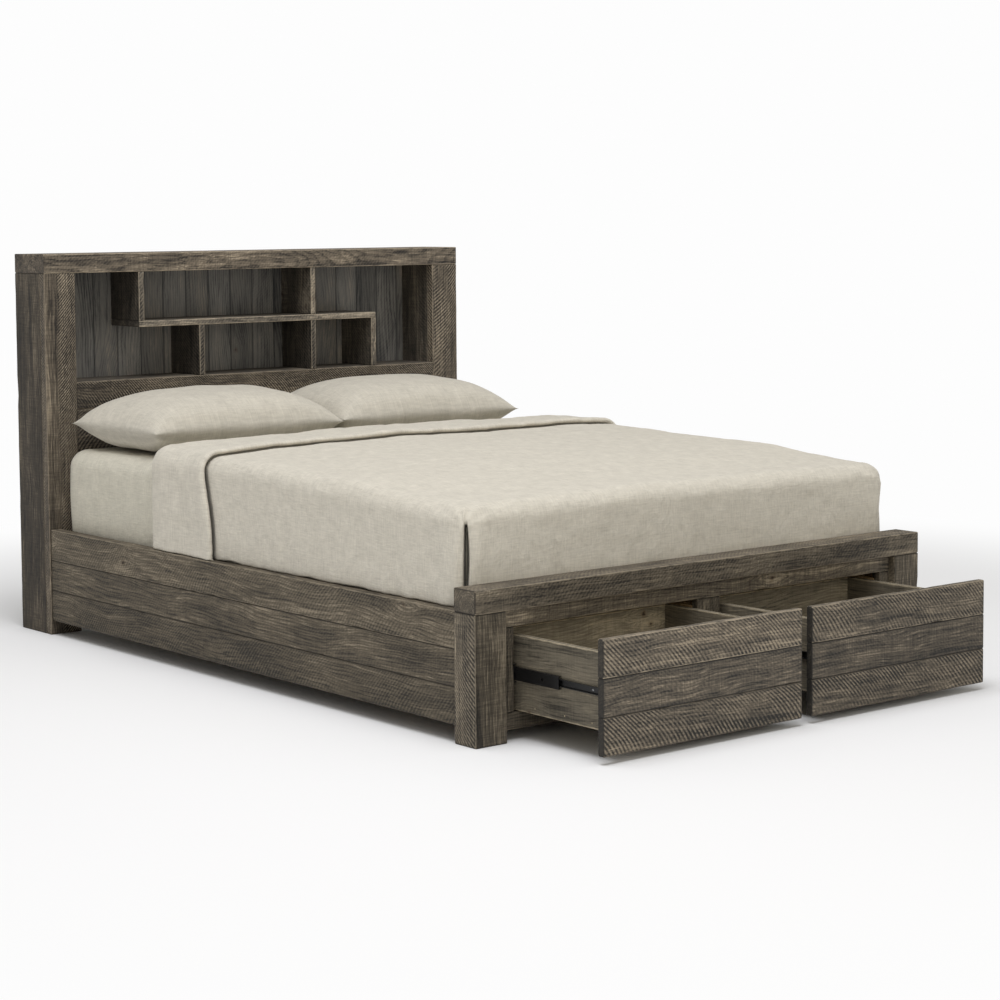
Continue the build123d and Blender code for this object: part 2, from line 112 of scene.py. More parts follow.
def finish_group(word, label, dark, mid, light, **strengths):
    """A property group with the colours and the grain strengths of one stained pine."""
    given = {"rings": 0.5, "streaks": 0.55, "hatch": 0.5, "worn": 0.3, "grime": 0.35, "ends": 0.3}
    given.update(rough=0.66, **strengths)
    props = {
        "dark": colour("Dark", f"Stain in the open grain of the {label}", dark),
        "mid": colour("Middle", f"Main colour of the {label}", mid),
        "light": colour("Light", f"Worn wood on ridges and edges of the {label}", light),
        "rings": share("Rings", "Contrast of the growth rings", given["rings"]),
        "streaks": share("Streaks", "Contrast of the long streaks", given["streaks"]),
        "hatch": share("Hatch", "Contrast of the fine marks across the grain", given["hatch"]),
        "worn": share("Worn edges", "How much of the stain the edges have lost", given["worn"]),
        # stain and painted shade: darkens the wood towards its dark stain within a few millimetres of every
        # board edge and joint
        "grime": share("Grime", "How dark the stain stands along the joints", given["grime"]),
        "ends": share("Ends", "How dark the stain is on end grain", given["ends"]),
        "rough": share("Roughness", "How dull the surface is", given["rough"]),
    }
    return type(f"STORAGEBED_PG_{word}", (bpy.types.PropertyGroup,), {"__annotations__": props})


FINISHES = {
    word: finish_group(word, *given, **strengths)
    for word, given, strengths in (
        (
            "headboard_wood",
            ("headboard", (34, 31, 28), (86, 78, 67), (160, 147, 127)),
            {"rings": 0.35, "streaks": 0.48, "hatch": 0.42},
        ),
        (
            "charcoal_planks",
            ("back planks", (40, 41, 42), (98, 96, 92), (150, 138, 121)),
            {"rings": 0.34, "streaks": 0.13, "hatch": 0.04, "worn": 0.0, "grime": 0.6},
        ),
        (
            "cubby_boards",
            ("bookcase", (36, 34, 32), (88, 82, 73), (160, 148, 129)),
            {"rings": 0.25, "worn": 0.45},
        ),
        (
            "rail_boards",
            ("side rails", (42, 38, 32), (90, 82, 69), (158, 146, 126)),
            {"rings": 0.4, "streaks": 0.42, "hatch": 0.3, "worn": 0.5, "grime": 0.85},
        ),
        (
            "footboard_wood",
            ("footboard", (36, 33, 29), (86, 79, 68), (156, 144, 124)),
            {"rings": 0.3, "streaks": 0.42, "grime": 0.8},
        ),
        (
            "sawn_drawer_front",
            ("drawer fronts", (38, 37, 35), (88, 81, 71), (166, 153, 133)),
            {"rings": 0.3, "streaks": 0.5, "worn": 0.95, "grime": 0.8, "ends": 0.8},
        ),
        (
            "drawer_box_wood",
            ("drawer boxes", (52, 49, 43), (112, 105, 91), (176, 163, 139)),
            {"rings": 0.22, "streaks": 0.26, "hatch": 0.22, "worn": 0.6},
        ),
        (
            "base_pine",
            ("bed base", (118, 94, 62), (186, 156, 114), (216, 192, 152)),
            {"rings": 0.3, "streaks": 0.25, "worn": 0.1, "grime": 0.1, "ends": 0.1},
        ),
    )
}


class STORAGEBED_PG_boards(bpy.types.PropertyGroup):
    """Wear of the boards and marks of the saw."""

    arris: length("Arris", "Radius that wear has given the board edges", 0.0022)
    nick: share("Nicks", "How often an edge is knocked back", 0.10)
    ring_step: length("Ring step", "Distance between cuts along a board", 0.032)
    knots: share("Knots", "Share of a board's cells that hold a knot", 0.24)
    saw_pitch: length("Saw pitch", "Distance between saw marks along a board", 0.0132)
    saw_radius: length("Saw radius", "Radius of the saw that cut the boards", 0.42)
    growth_pitch: length("Growth pitch", "Width of a growth ring", 0.0085)


class STORAGEBED_PG_bedding(bpy.types.PropertyGroup):
    """Sizes and colours of the duvet, the pillows and the fitted sheet."""

    duvet: colour("Duvet", "Linen of the duvet", (213, 207, 193))
    pillow: colour("Pillow", "Linen of the pillow cases", (203, 197, 183))
    sheet: colour("Sheet", "Linen of the fitted sheet", (208, 203, 187))
    # strength of the painted shade in the cloth's folds, corner splits, flap edge and pillow seams
    fold_shade: share("Fold shade", "How dark the cloth is deep in its folds", 0.85)
    weave: length("Weave", "Distance between threads", 0.0011)
    flap: length("Flap", "Length of the duvet that is folded back on top", 0.262)
    flap_drop: length("Flap drop", "How much lower the flap's edge runs on the sides", 0.070)
    flap_rise: length("Flap rise", "How far the flap stands on the duvet", 0.015)
    quilt: length("Quilt", "Thickness of the duvet's shell", 0.009)
    crease: length("Crease", "Depth of the soft creases", 0.0016)


class STORAGEBED_PG_hardware(bpy.types.PropertyGroup):
    """Finishes of the slides, screws, brackets and glides."""

    steel: colour("Steel", "Black coated steel of the slides", (26, 26, 27))
    zinc: colour("Zinc", "Zinc plate of the screws", (186, 188, 190))
    filler: colour("Filler", "Filler over the nails", (170, 156, 128))


class STORAGEBED_PG_stage(bpy.types.PropertyGroup):
    """Floor and lights."""

    floor: colour("Floor", "Floor of the studio", (241, 241, 241))
    sky: share("Sky", "Strength of the light from all round", 0.44, 5)
    backdrop: share("Backdrop", "Brightness of the backdrop as it is seen", 0.983, 5)
    key: FloatProperty(name="Key", description="Power of the main light", default=330, unit="POWER")
    fill: FloatProperty(name="Fill", description="Power of the front light", default=61, unit="POWER")


class STORAGEBED_PG_settings(bpy.types.PropertyGroup):
    """Everything that can be changed about the bed's looks."""

    __annotations__ = {
        "boards": PointerProperty(type=STORAGEBED_PG_boards),
        "bedding": PointerProperty(type=STORAGEBED_PG_bedding),
        "hardware": PointerProperty(type=STORAGEBED_PG_hardware),
        "stage": PointerProperty(type=STORAGEBED_PG_stage),
        **{word: PointerProperty(type=group) for word, group in FINISHES.items()},
    }


def settings():
    """The bed's sizes and colours, as the user has set them."""
    return bpy.context.scene.storage_bed


# ---- short ways to write a material
class Tree:
    """Adds nodes to a node tree; a value is a socket to link or a number to set."""

    def __init__(self, tree):
        self.tree = tree

    def add(self, kind, values=None, **options):
        """A new node with its inputs and its settings."""
        node = self.tree.nodes.new(kind)
        for key, option in options.items():
            setattr(node, key, option)
        for key, value in (values or {}).items():
            self.put(node.inputs[key], value)
        return node

    def put(self, socket, value):
        """Links a socket to an input, or sets the input to a value."""
        if isinstance(value, bpy.types.NodeSocket):
            self.tree.links.new(value, socket)
        elif value is not None:
            socket.default_value = value

    def math(self, operation, *values, clamp=False):
        """A Math node's result."""
        node = self.add("ShaderNodeMath", dict(enumerate(values)), operation=operation)
        node.use_clamp = clamp
        return node.outputs[0]

    def vector(self, operation, first, second):
        """A Vector Math node's result."""
        node = self.add("ShaderNodeVectorMath", {0: first, 1: second}, operation=operation)
        return node.outputs["Value" if operation in ("LENGTH", "DISTANCE") else "Vector"]

    def times(self, first, second):
        return self.math("MULTIPLY", first, second)

    def times_plus(self, value, by, plus, clamp=False):
        return self.math("MULTIPLY_ADD", value, by, plus, clamp=clamp)

    def stirred(self, base, pattern, strength, clamp=False):
        """The base, raised where the pattern is over a half and lowered where it is under."""
        return self.times_plus(self.math("SUBTRACT", pattern, 0.5), strength, base, clamp)

    def scaled(self, vector, by):
        return self.vector("MULTIPLY", vector, by)

    def place(self):
        """Where a point is on the bed, in metres."""
        return self.add("ShaderNodeTexCoord").outputs["Object"]

    def parts(self, vector):
        return self.add("ShaderNodeSeparateXYZ", {0: vector}).outputs

    def joined(self, x, y, z):
        return self.add("ShaderNodeCombineXYZ", {0: x, 1: y, 2: z}).outputs[0]

    def noise(self, vector, stretch, detail=2.0, rough=0.5, distortion=0.0):
        """Noise with that number of features in a metre along each axis."""
        values = {
            "Vector": self.scaled(vector, stretch),
            "Scale": 1.0,
            "Detail": detail,
            "Roughness": rough,
            "Distortion": distortion,
        }
        return self.add("ShaderNodeTexNoise", values).outputs[0]

    def step(self, value, low, high, start=0.0, end=1.0):
        """Goes smoothly from start to end as the value goes from low to high."""
        values = {0: value, 1: low, 2: high, 3: start, 4: end}
        node = self.add("ShaderNodeMapRange", values, interpolation_type="SMOOTHSTEP")
        return node.outputs[0]

    def mix(self, factor, first, second, blend="MIX"):
        """A blend of two colours."""
        values = {0: factor, 6: first, 7: second}
        return self.add("ShaderNodeMix", values, data_type="RGBA", blend_type=blend).outputs[2]

    def named(self, name, output="Vector"):
        """An attribute of the mesh."""
        return self.add("ShaderNodeAttribute", attribute_name=name).outputs[output]

    def bump(self, height, depth, strength=1.0):
        """A normal that follows a height."""
        values = {"Height": height, "Distance": depth, "Strength": strength}
        return self.add("ShaderNodeBump", values).outputs[0]


def new_material(name):
    """A material with an empty Principled shader, and its tree."""
    material = bpy.data.materials.new("finish_" + name)
    material.use_nodes = True
    tree = Tree(material.node_tree)
    tree.tree.nodes.clear()
    shader = tree.add("ShaderNodeBsdfPrincipled")
    output = tree.add("ShaderNodeOutputMaterial")
    tree.tree.links.new(shader.outputs[0], output.inputs[0])
    return material, tree, shader


def rgba(values, by=1.0):
    """A colour as a node's socket takes it, made that much lighter."""
    return (*(min(1.0, value * by) for value in values[:3]), 1.0)


# ---- stained pine
MARKS = ("seed", "saw", "tone", "side", "pitch", "rims", "wear")  # each board's own values, as attributes


def knots_in(tree, here):
    """Knots, in flat cells much longer than they are wide.

    Returns the way from the nearest, and how strong its pull on the grain, its core and its bark are.
    """
    cell = tree.scaled(here, (2.1, 7.0, 0.0))
    voronoi = tree.add(
        "ShaderNodeTexVoronoi",
        {"Vector": cell, "Scale": 1.0, "Randomness": 0.9},
        voronoi_dimensions="2D",
    )
    away = tree.scaled(tree.vector("SUBTRACT", cell, voronoi.outputs["Position"]), (0.38, 0.143, 0.0))
    from_knot = tree.vector("LENGTH", away, None)
    lot = tree.parts(voronoi.outputs["Color"])[0]
    has_knot = tree.math("GREATER_THAN", lot, 1 - settings().boards.knots)
    pull = tree.times(has_knot, tree.step(from_knot, 0.075, 0.004))
    wobble = tree.noise(here, (60.0, 70.0, 70.0), detail=3)
    crack = tree.noise(here, (18.0, 140.0, 140.0), detail=3, rough=0.7)
    knot_edge = tree.times_plus(wobble, 0.016, from_knot)
    knot_edge = tree.times_plus(crack, 0.012, knot_edge)
    knot = tree.times(has_knot, tree.step(knot_edge, 0.0260, 0.0150))
    bark = tree.times(has_knot, tree.step(knot_edge, 0.0185, 0.0145))
    return away, pull, knot, bark


def saw_marks(tree, here, along, over, faces, half, marks):
    """Marks of a round saw: arcs that travel along the board, strong in patches.

    Faces are the masks of narrow faces and of ends. Returns how strong the ridges and troughs are.
    """
    saw, side, pitch = marks["saw"], marks["side"], marks["pitch"]
    narrow, end_face = faces
    drift = tree.times_plus(tree.noise(here, (3.0, 6.0, 6.0), detail=1), 0.05, -0.025)
    reach = tree.math("ADD", over, 0.29)
    swing = tree.math(
        "SQRT", tree.math("SUBTRACT", settings().boards.saw_radius**2, tree.times(reach, reach))
    )
    path = tree.math("ADD", tree.times_plus(swing, tree.math("SIGN", saw), along), drift)
    phase = tree.math("DIVIDE", tree.times(path, 2 * math.pi), pitch)
    jitter = tree.noise(here, (45.0, 45.0, 45.0), detail=2)
    wave = tree.times_plus(jitter, 1.2, tree.math("SINE", phase))
    ridge = tree.step(wave, 0.45, 1.25)
    trough = tree.step(wave, 0.30, -0.40)
    patch = tree.noise(here, (4.0, 10.0, 10.0), detail=3, rough=0.62)
    strength = tree.times(tree.math("ABSOLUTE", saw), tree.step(patch, 0.34, 0.58, 0.12, 1.0))
    on_side = tree.math("DIVIDE", over, tree.math("MAXIMUM", tree.parts(half)[1], 0.001))
    spare = tree.math("SUBTRACT", 1.0, tree.math("ABSOLUTE", side))
    kept = tree.step(tree.times_plus(on_side, side, spare), -0.35, 0.1)
    on_edge = tree.math("GREATER_THAN", side, 1.5)
    kept = tree.add("ShaderNodeMix", {0: on_edge, 2: kept, 3: narrow}, data_type="FLOAT").outputs[0]
    strength = tree.times(tree.times(strength, kept), tree.step(end_face, 1.0, 0.0))
    broken = tree.noise(here, (70.0, 150.0, 150.0), detail=4, rough=0.65)
    broken = tree.step(broken, 0.34, 0.60, 0.12, 1.0)
    sawn = tree.times(tree.times(ridge, strength), broken)
    sunk = tree.times(trough, strength)
    return sawn, sunk


def stained_pine(slot):
    """Rough-sawn stained pine, which reads each board's own grain attributes."""
    boards, finish = settings().boards, getattr(settings(), slot)
    material, tree, shader = new_material(slot)
    place, half = tree.named("grain"), tree.named("half")
    marks = {word: tree.named(word, "Fac") for word in MARKS}
    seed = marks["seed"]
    offset = tree.scaled(tree.joined(seed, seed, seed), (37.0, 19.0, 11.0))
    here = tree.vector("ADD", place, offset)
    along, across, thick = tree.parts(place)[:3]
    size = tree.add("ShaderNodeVectorMath", {0: place}, operation="ABSOLUTE").outputs[0]
    d_along, d_across, d_thick = tree.parts(tree.vector("SUBTRACT", half, size))[:3]
    low = tree.math("MINIMUM", d_across, d_thick)
    high = tree.math("MAXIMUM", d_across, d_thick)
    edge = tree.math("MAXIMUM", low, tree.math("MINIMUM", high, d_along))
    end_face = tree.step(tree.math("SUBTRACT", low, d_along), 0.0, 0.001)
    narrow = tree.math("LESS_THAN", d_across, d_thick)
    over = tree.add("ShaderNodeMix", {0: narrow, 2: across, 3: thick}, data_type="FLOAT").outputs[0]

    # the grain wanders along the board and runs round the knots
    away, pull, knot, bark = knots_in(tree, here)
    wander = tree.noise(here, (2.6, 5.0, 5.0), detail=2)
    lean_away = tree.times(tree.math("SIGN", tree.parts(away)[1]), pull)
    bend = tree.times_plus(wander, 0.060, tree.times(lean_away, -0.016))
    flow = tree.vector("ADD", here, tree.joined(0.0, bend, bend))

    # growth rings round a pith that wanders
    sway = tree.times_plus(tree.noise(here, (1.3, 2.0, 2.0), detail=1), 0.16, -0.08)
    from_middle = tree.math("ADD", tree.math("ADD", across, sway), bend)
    from_pith = tree.vector("LENGTH", tree.joined(0.0, from_middle, tree.math("ADD", thick, 0.022)), None)
    grain_noise = tree.noise(flow, (5.0, 90.0, 90.0), detail=3)
    turns = tree.times_plus(grain_noise, 0.9, tree.math("DIVIDE", from_pith, boards.growth_pitch))
    ring = tree.math("FRACT", turns)
    late = tree.times(tree.step(ring, 0.45, 0.92), tree.step(ring, 1.0, 0.95))

    streak = tree.noise(flow, (2.4, 62.0, 62.0), detail=6, rough=0.74)
    fibre = tree.noise(flow, (14.0, 300.0, 300.0), detail=4, rough=0.72)
    hatch = tree.noise(here, (230.0, 16.0, 16.0), detail=3, rough=0.6)
    cloud = tree.noise(here, (3.0, 12.0, 12.0), detail=4, rough=0.6)

    sawn, sunk = saw_marks(tree, here, along, over, (narrow, end_face), half, marks)

    # how light each point is, from 0 for the dark stain to 1 for worn wood
    base = tree.stirred(0.52, streak, 3.4 * finish.streaks)
    base = tree.stirred(base, cloud, 1.1)
    base = tree.stirred(base, fibre, 0.6 + 1.8 * finish.streaks)
    base = tree.stirred(base, hatch, 1.4 * finish.hatch)
    base = tree.times_plus(late, -0.62 * finish.rings, base)
    base = tree.times_plus(sunk, -0.34, base)
    base = tree.times_plus(pull, 0.22, base)
    base = tree.stirred(base, seed, 0.2, clamp=True)
    body = tree.mix(tree.step(base, 0.0, 0.60), rgba(finish.dark), rgba(finish.mid))
    body = tree.mix(tree.step(base, 0.52, 1.05, 0.0, 0.75), body, rgba(finish.light))
    body = tree.mix(tree.times(sawn, 0.60), body, rgba(finish.light))
    rough_edge = tree.noise(here, (30.0, 60.0, 60.0), detail=4, rough=0.7)
    chipped = tree.times_plus(rough_edge, 0.010, edge)
    # stain and painted shade: darker within a few millimetres of each edge and joint of a board, as in the
    # shaded V-joints
    body = tree.mix(tree.step(edge, 0.0046, 0.0012, 0.0, finish.grime), body, rgba(finish.dark))
    # worn edges lighter; on the top boards of the drawer fronts and rails this is also a painted highlight
    # along their arrises
    arris_wear_and_highlight = tree.times(tree.step(high, 0.005, 0.002), tree.step(chipped, 0.0090, 0.0060))
    arris_wear_and_highlight = tree.times(arris_wear_and_highlight, tree.times(marks["wear"], finish.worn))
    body = tree.mix(arris_wear_and_highlight, body, rgba(finish.light, 1.35))
    body = tree.mix(tree.times(end_face, finish.ends), body, rgba(finish.dark))
    body = tree.mix(tree.times(knot, 0.6), body, knot_brown(finish))
    body = tree.mix(tree.times(bark, 0.7), body, rgba(finish.dark, 0.45))
    on_rim = tree.times(narrow, tree.step(end_face, 1.0, 0.0))
    rim_tint = tree.times_plus(tree.math("SUBTRACT", marks["rims"], 1.0), on_rim, 1.0)
    tint = tree.times(marks["tone"], rim_tint)
    tree.put(shader.inputs["Base Color"], tree.scaled(body, tree.joined(tint, tint, tint)))
    tree.put(shader.inputs["Roughness"], tree.times_plus(base, 0.16, finish.rough - 0.06))
    shader.inputs["Specular IOR Level"].default_value = 0.28

    height = tree.times_plus(late, -0.35, tree.times(fibre, 0.6))
    height = tree.times_plus(tree.math("SUBTRACT", sawn, sunk), 0.7, height)
    height = tree.times_plus(bark, -0.6, height)
    tree.put(shader.inputs["Normal"], tree.bump(height, 0.0012, 0.9))
    return material


def knot_brown(finish):
    """The red-brown of a knot in that finish."""
    return (finish.mid[0] * 0.62, finish.mid[1] * 0.46, finish.mid[2] * 0.36, 1.0)


# ---- boards
THINNEST_BOARD = 0.002
UPRIGHT = 2  # the axis that runs up
EASED_EDGE = 0.0011


class Board:
    """One board: its box, its grain direction, and marks of its own."""

    def __init__(self, low, high, along, marks):
        self.middle, size = (low + high) / 2, high - low
        others = sorted((axis for axis in range(3) if axis != along), key=lambda axis: -size[axis])
        self.axes = (along, *others)
        self.half = np.array([size[axis] for axis in self.axes]) / 2
        self.marks = marks

    def grain(self, points):
        """Points of the bed as distances along, across and through the board."""
        return (points - self.middle)[:, self.axes]

    def place(self, grain):
        """The other way round."""
        points = np.empty_like(grain)
        points[:, self.axes] = grain
        return points + self.middle


def merged_copy(node):
    """A node's mesh with its loose triangles joined up."""
    copy = bmesh.new()
    copy.from_mesh(frame["nodes"][node].data)
    bmesh.ops.remove_doubles(copy, verts=copy.verts, dist=1e-5)
    return copy


def grouped(starts, neighbours):
    """Lists of the elements that can be reached from each other."""
    seen, found = set(), []
    for start in starts:
        if start in seen:
            continue
        seen.add(start)
        heap, group = [start], []
        while heap:
            one = heap.pop()
            group.append(one)
            for other in neighbours(one):
                if other not in seen:
                    seen.add(other)
                    heap.append(other)
        found.append(group)
    return found


def corners(verts):
    """The lowest and highest corner of some vertices."""
    points = np.array([vert.co for vert in verts])
    return points.min(0), points.max(0)


def from_left(low):
    """Sorts by the lowest corner: from left to right, front to back and up."""
    return tuple(round(value, 3) for value in low)


def islands(mesh):
    """Separate solids of a bmesh as lists of vertices."""
    found = grouped(mesh.verts, lambda vert: [edge.other_vert(vert) for edge in vert.link_edges])
    return sorted(found, key=lambda island: from_left(corners(island)[0]))


def faces_beside(face):
    """The faces that meet a face at a plain edge, which two solids that touch don't share."""
    return [other for edge in face.edges if len(edge.link_faces) == 2 for other in edge.link_faces]


def touching_boxes(mesh):
    """The lowest and highest corner of each solid of a bmesh whose solids may touch."""
    solids = grouped(mesh.faces, faces_beside)
    found = [corners({vert for face in faces for vert in face.verts}) for faces in solids]
    thick = [(low, high) for low, high in found if (high - low).min() > THINNEST_BOARD]
    return sorted(thick, key=lambda pair: from_left(pair[0]))


def boards_in(node, boxes, saws):
    """A Board for each box of a node; saws are the strengths of their saw marks, in turn."""
    tone_of = TONES.get(node, (1.0,))
    side, pitch = SAW_SIDES.get(node, 0.0), SAW_PITCHES.get(node, settings().boards.saw_pitch)
    rims, wear_and_highlight = RIM_TONES.get(node, 1.0), EDGE_WEAR_AND_HIGHLIGHT.get(node, (1.0,))
    rng = random.Random(node)
    made = []
    for number, (low, high) in enumerate(boxes):
        axis = UPRIGHT if node in DIVIDERS else int(np.argmax(high - low))
        saw, tone = saws[number % len(saws)], tone_of[number % len(tone_of)]
        wear = wear_and_highlight[number % len(wear_and_highlight)]
        made.append(Board(low, high, axis, (rng.random(), saw, tone, side, pitch, rims, wear)))
    return made


def worn_rings(board, rng, arris=None):
    """Points and faces of a board whose edges are rounded unevenly, in the board's own directions."""
    wear = settings().boards
    half_along, half_across, half_thick = board.half
    arris = min(arris or wear.arris, 0.25 * half_thick)
    count = max(2, round(2 * half_along / wear.ring_step))
    inner = np.linspace(-half_along + 1.2 * arris, half_along - 1.2 * arris, count + 1)
    stations = [-half_along, -half_along + 0.35 * arris, *inner, half_along - 0.35 * arris, half_along]
    insets = [arris, 0.3 * arris, *[0.0] * len(inner), 0.3 * arris, arris]
    turns = [(1, 1, 0), (-1, 1, 90), (-1, -1, 180), (1, -1, 270)]
    radii = np.array([[0.75 + 0.7 * rng.random() for _ in turns] for _ in stations])
    for ring in range(len(stations)):
        for corner in range(4):
            if rng.random() < wear.nick:
                radii[ring, corner] *= 1.5 + 1.2 * rng.random()
    points = []
    for station, inset, ring in zip(stations, insets, radii):
        for (side, face, start), radius in zip(turns, ring):
            radius = radius * arris
            for angle in (start, start + 45, start + 90):
                turn = math.radians(angle)
                points.append(
                    (
                        station,
                        side * (half_across - inset - radius) + radius * math.cos(turn),
                        face * (half_thick - inset - radius) + radius * math.sin(turn),
                    )
                )
    around, last = 3 * len(turns), len(stations) - 1
    faces = []
    for start in range(0, last * around, around):
        for j in range(around):
            after = (j + 1) % around
            faces.append((start + j, start + after, start + around + after, start + around + j))
    faces.append(tuple(range(around)))
    faces.append(tuple(range(last * around, (last + 1) * around)))
    return np.array(points), faces


def store(mesh, name, kind, values):
    """Writes an attribute, one value or vector for each point of a mesh."""
    layer = mesh.attributes.new(name, kind, "POINT")
    word = "vector" if kind == "FLOAT_VECTOR" else "value"
    layer.data.foreach_set(word, np.asarray(values, np.float32).ravel())


def lay_cloth(mesh, maps):
    """Gives a mesh the map that its linen follows: a place in metres for each corner of each face."""
    mesh.uv_layers.new(name="cloth").data.foreach_set("uv", np.array(maps, np.float32).ravel())


def move_points(mesh, points):
    """Puts the points of a mesh in new places."""
    mesh.vertices.foreach_set("co", np.asarray(points, np.float32).ravel())


def new_object(name, made_of, *materials):
    """A linked object of a mesh, light or camera, at the origin."""
    made = bpy.data.objects.new(name, made_of)
    bpy.context.scene.collection.objects.link(made)
    for material in materials:
        made_of.materials.append(material)
    return made


def outward(mesh):
    """Turns every face of a closed mesh outwards."""
    shell = bmesh.new()
    shell.from_mesh(mesh)
    bmesh.ops.recalc_face_normals(shell, faces=shell.faces)
    shell.to_mesh(mesh)
    shell.free()


def timber(node, slot, saws):
    """Rebuilds a node's boards with worn edges, and gives them that slot's finish."""
    rng = random.Random("wear " + node)
    source = merged_copy(node)
    points, faces, grain, half, marks = [], [], [], [], []
    for board in boards_in(node, touching_boxes(source), saws):
        local, local_faces = worn_rings(board, rng, JOINT_ARRISES.get(node))
        start = sum(len(part) for part in points)
        faces += [tuple(start + index for index in face) for face in local_faces]
        points.append(board.place(local))
        grain.append(local)
        half.append(np.tile(board.half, (len(local), 1)))
        marks.append(np.tile(board.marks, (len(local), 1)))
    source.free()
    mesh = bpy.data.meshes.new("timber_" + node)
    mesh.from_pydata(np.concatenate(points).tolist(), [], faces)
    keep_grain(mesh, grain, half, marks)
    outward(mesh)
    stand_in(new_object("timber_" + node, mesh, finish_of(slot)), node)


def joinery(node, slot):
    """A node's own shape, with its grooves and holes, with eased edges and that slot's finish."""
    source = merged_copy(node)
    made = boards_in(node, [corners(island) for island in islands(source)], (0.0,))
    bmesh.ops.dissolve_limit(source, angle_limit=0.02, verts=source.verts, edges=source.edges)
    sharp = [edge for edge in source.edges if len(edge.link_faces) == 2 and edge.calc_face_angle(0) > 1.2]
    bmesh.ops.bevel(
        source, geom=sharp, offset=EASED_EDGE, segments=2, profile=0.5, affect="EDGES", clamp_overlap=True
    )
    source.verts.index_update()
    count = len(source.verts)
    grain, half = np.zeros((count, 3)), np.zeros((count, 3))
    marks = np.zeros((count, len(MARKS)))
    for board, island in zip(made, islands(source)):
        mine = [vert.index for vert in island]
        grain[mine] = board.grain(np.array([vert.co for vert in island]))
        half[mine] = board.half
        marks[mine] = board.marks
    mesh = bpy.data.meshes.new("timber_" + node)
    source.to_mesh(mesh)
    source.free()
    keep_grain(mesh, [grain], [half], [marks])
    stand_in(new_object("timber_" + node, mesh, finish_of(slot)), node)


def keep_grain(mesh, grain, half, marks):
    """Stores what the wood's finish reads; marks are each point's values in the order of MARKS."""
    store(mesh, "grain", "FLOAT_VECTOR", np.concatenate(grain))
    store(mesh, "half", "FLOAT_VECTOR", np.concatenate(half))
    for name, values in zip(MARKS, np.concatenate(marks).T):
        store(mesh, name, "FLOAT", values)


def stand_in(piece, node):
    """Puts a finished piece in the place of one node, on that node's body."""
    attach(piece, frame["nodes"][node]["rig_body"])
    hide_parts(node)


def finish_of(slot):
    """The slot's material, made the first time that it is asked for."""
    name = "finish_" + slot
    return bpy.data.materials.get(name) or MAKERS[slot](slot)


# ---- metal and plastic
def coated_steel(slot):
    """Black coating on pressed steel, with faint rub marks along the slide."""
    material, tree, shader = new_material(slot)
    place = tree.place()
    rub = tree.noise(place, (300.0, 12.0, 300.0), detail=3)
    orange = tree.noise(place, (900.0, 900.0, 900.0), detail=1)
    steel = settings().hardware.steel
    bright = (*(value * 2.6 + 0.01 for value in steel), 1.0)
    body = tree.mix(tree.step(rub, 0.55, 0.8, 0.0, 0.8), rgba(steel), bright)
    tree.put(shader.inputs["Base Color"], body)
    tree.put(shader.inputs["Roughness"], tree.times_plus(rub, 0.25, 0.22))
    tree.put(shader.inputs["Normal"], tree.bump(orange, 0.00003))
    shader.inputs["Metallic"].default_value = 0.35
    return material


def plated(slot, dim=1.0):
    """Bright zinc plate with a fine spangle."""
    material, tree, shader = new_material(slot)
    place = tree.place()
    spangle = tree.noise(place, (700.0, 700.0, 700.0), detail=3)
    zinc = settings().hardware.zinc
    tree.put(shader.inputs["Base Color"], tree.mix(spangle, rgba(zinc, 0.55 * dim), rgba(zinc, dim)))
    tree.put(shader.inputs["Roughness"], tree.times_plus(spangle, 0.2, 0.22))
    tree.put(shader.inputs["Normal"], tree.bump(spangle, 0.00002))
    shader.inputs["Metallic"].default_value = 0.9
    return material


def dull_plated(slot):
    """Zinc plate gone grey, on brackets."""
    return plated(slot, 0.45)


def plastic(slot):
    """Black moulded plastic with a fine grain."""
    material, tree, shader = new_material(slot)
    place = tree.place()
    grain = tree.noise(place, (1500.0, 1500.0, 1500.0), detail=1)
    tree.put(shader.inputs["Base Color"], tree.mix(grain, (0.012, 0.012, 0.013, 1), (0.03, 0.03, 0.031, 1)))
    shader.inputs["Roughness"].default_value = 0.5
    tree.put(shader.inputs["Normal"], tree.bump(grain, 0.00005))
    return material


def wood_filler(slot):
    """Pale filler, sanded flat, with a few dark specks."""
    material, tree, shader = new_material(slot)
    place = tree.place()
    specks = tree.noise(place, (900.0, 900.0, 900.0), detail=2)
    filler = settings().hardware.filler
    body = tree.mix(tree.step(specks, 0.35, 0.6), rgba(filler, 0.6), rgba(filler))
    tree.put(shader.inputs["Base Color"], body)
    tree.put(shader.inputs["Roughness"], tree.times_plus(specks, 0.2, 0.7))
    tree.put(shader.inputs["Normal"], tree.bump(specks, 0.0001))
    return material


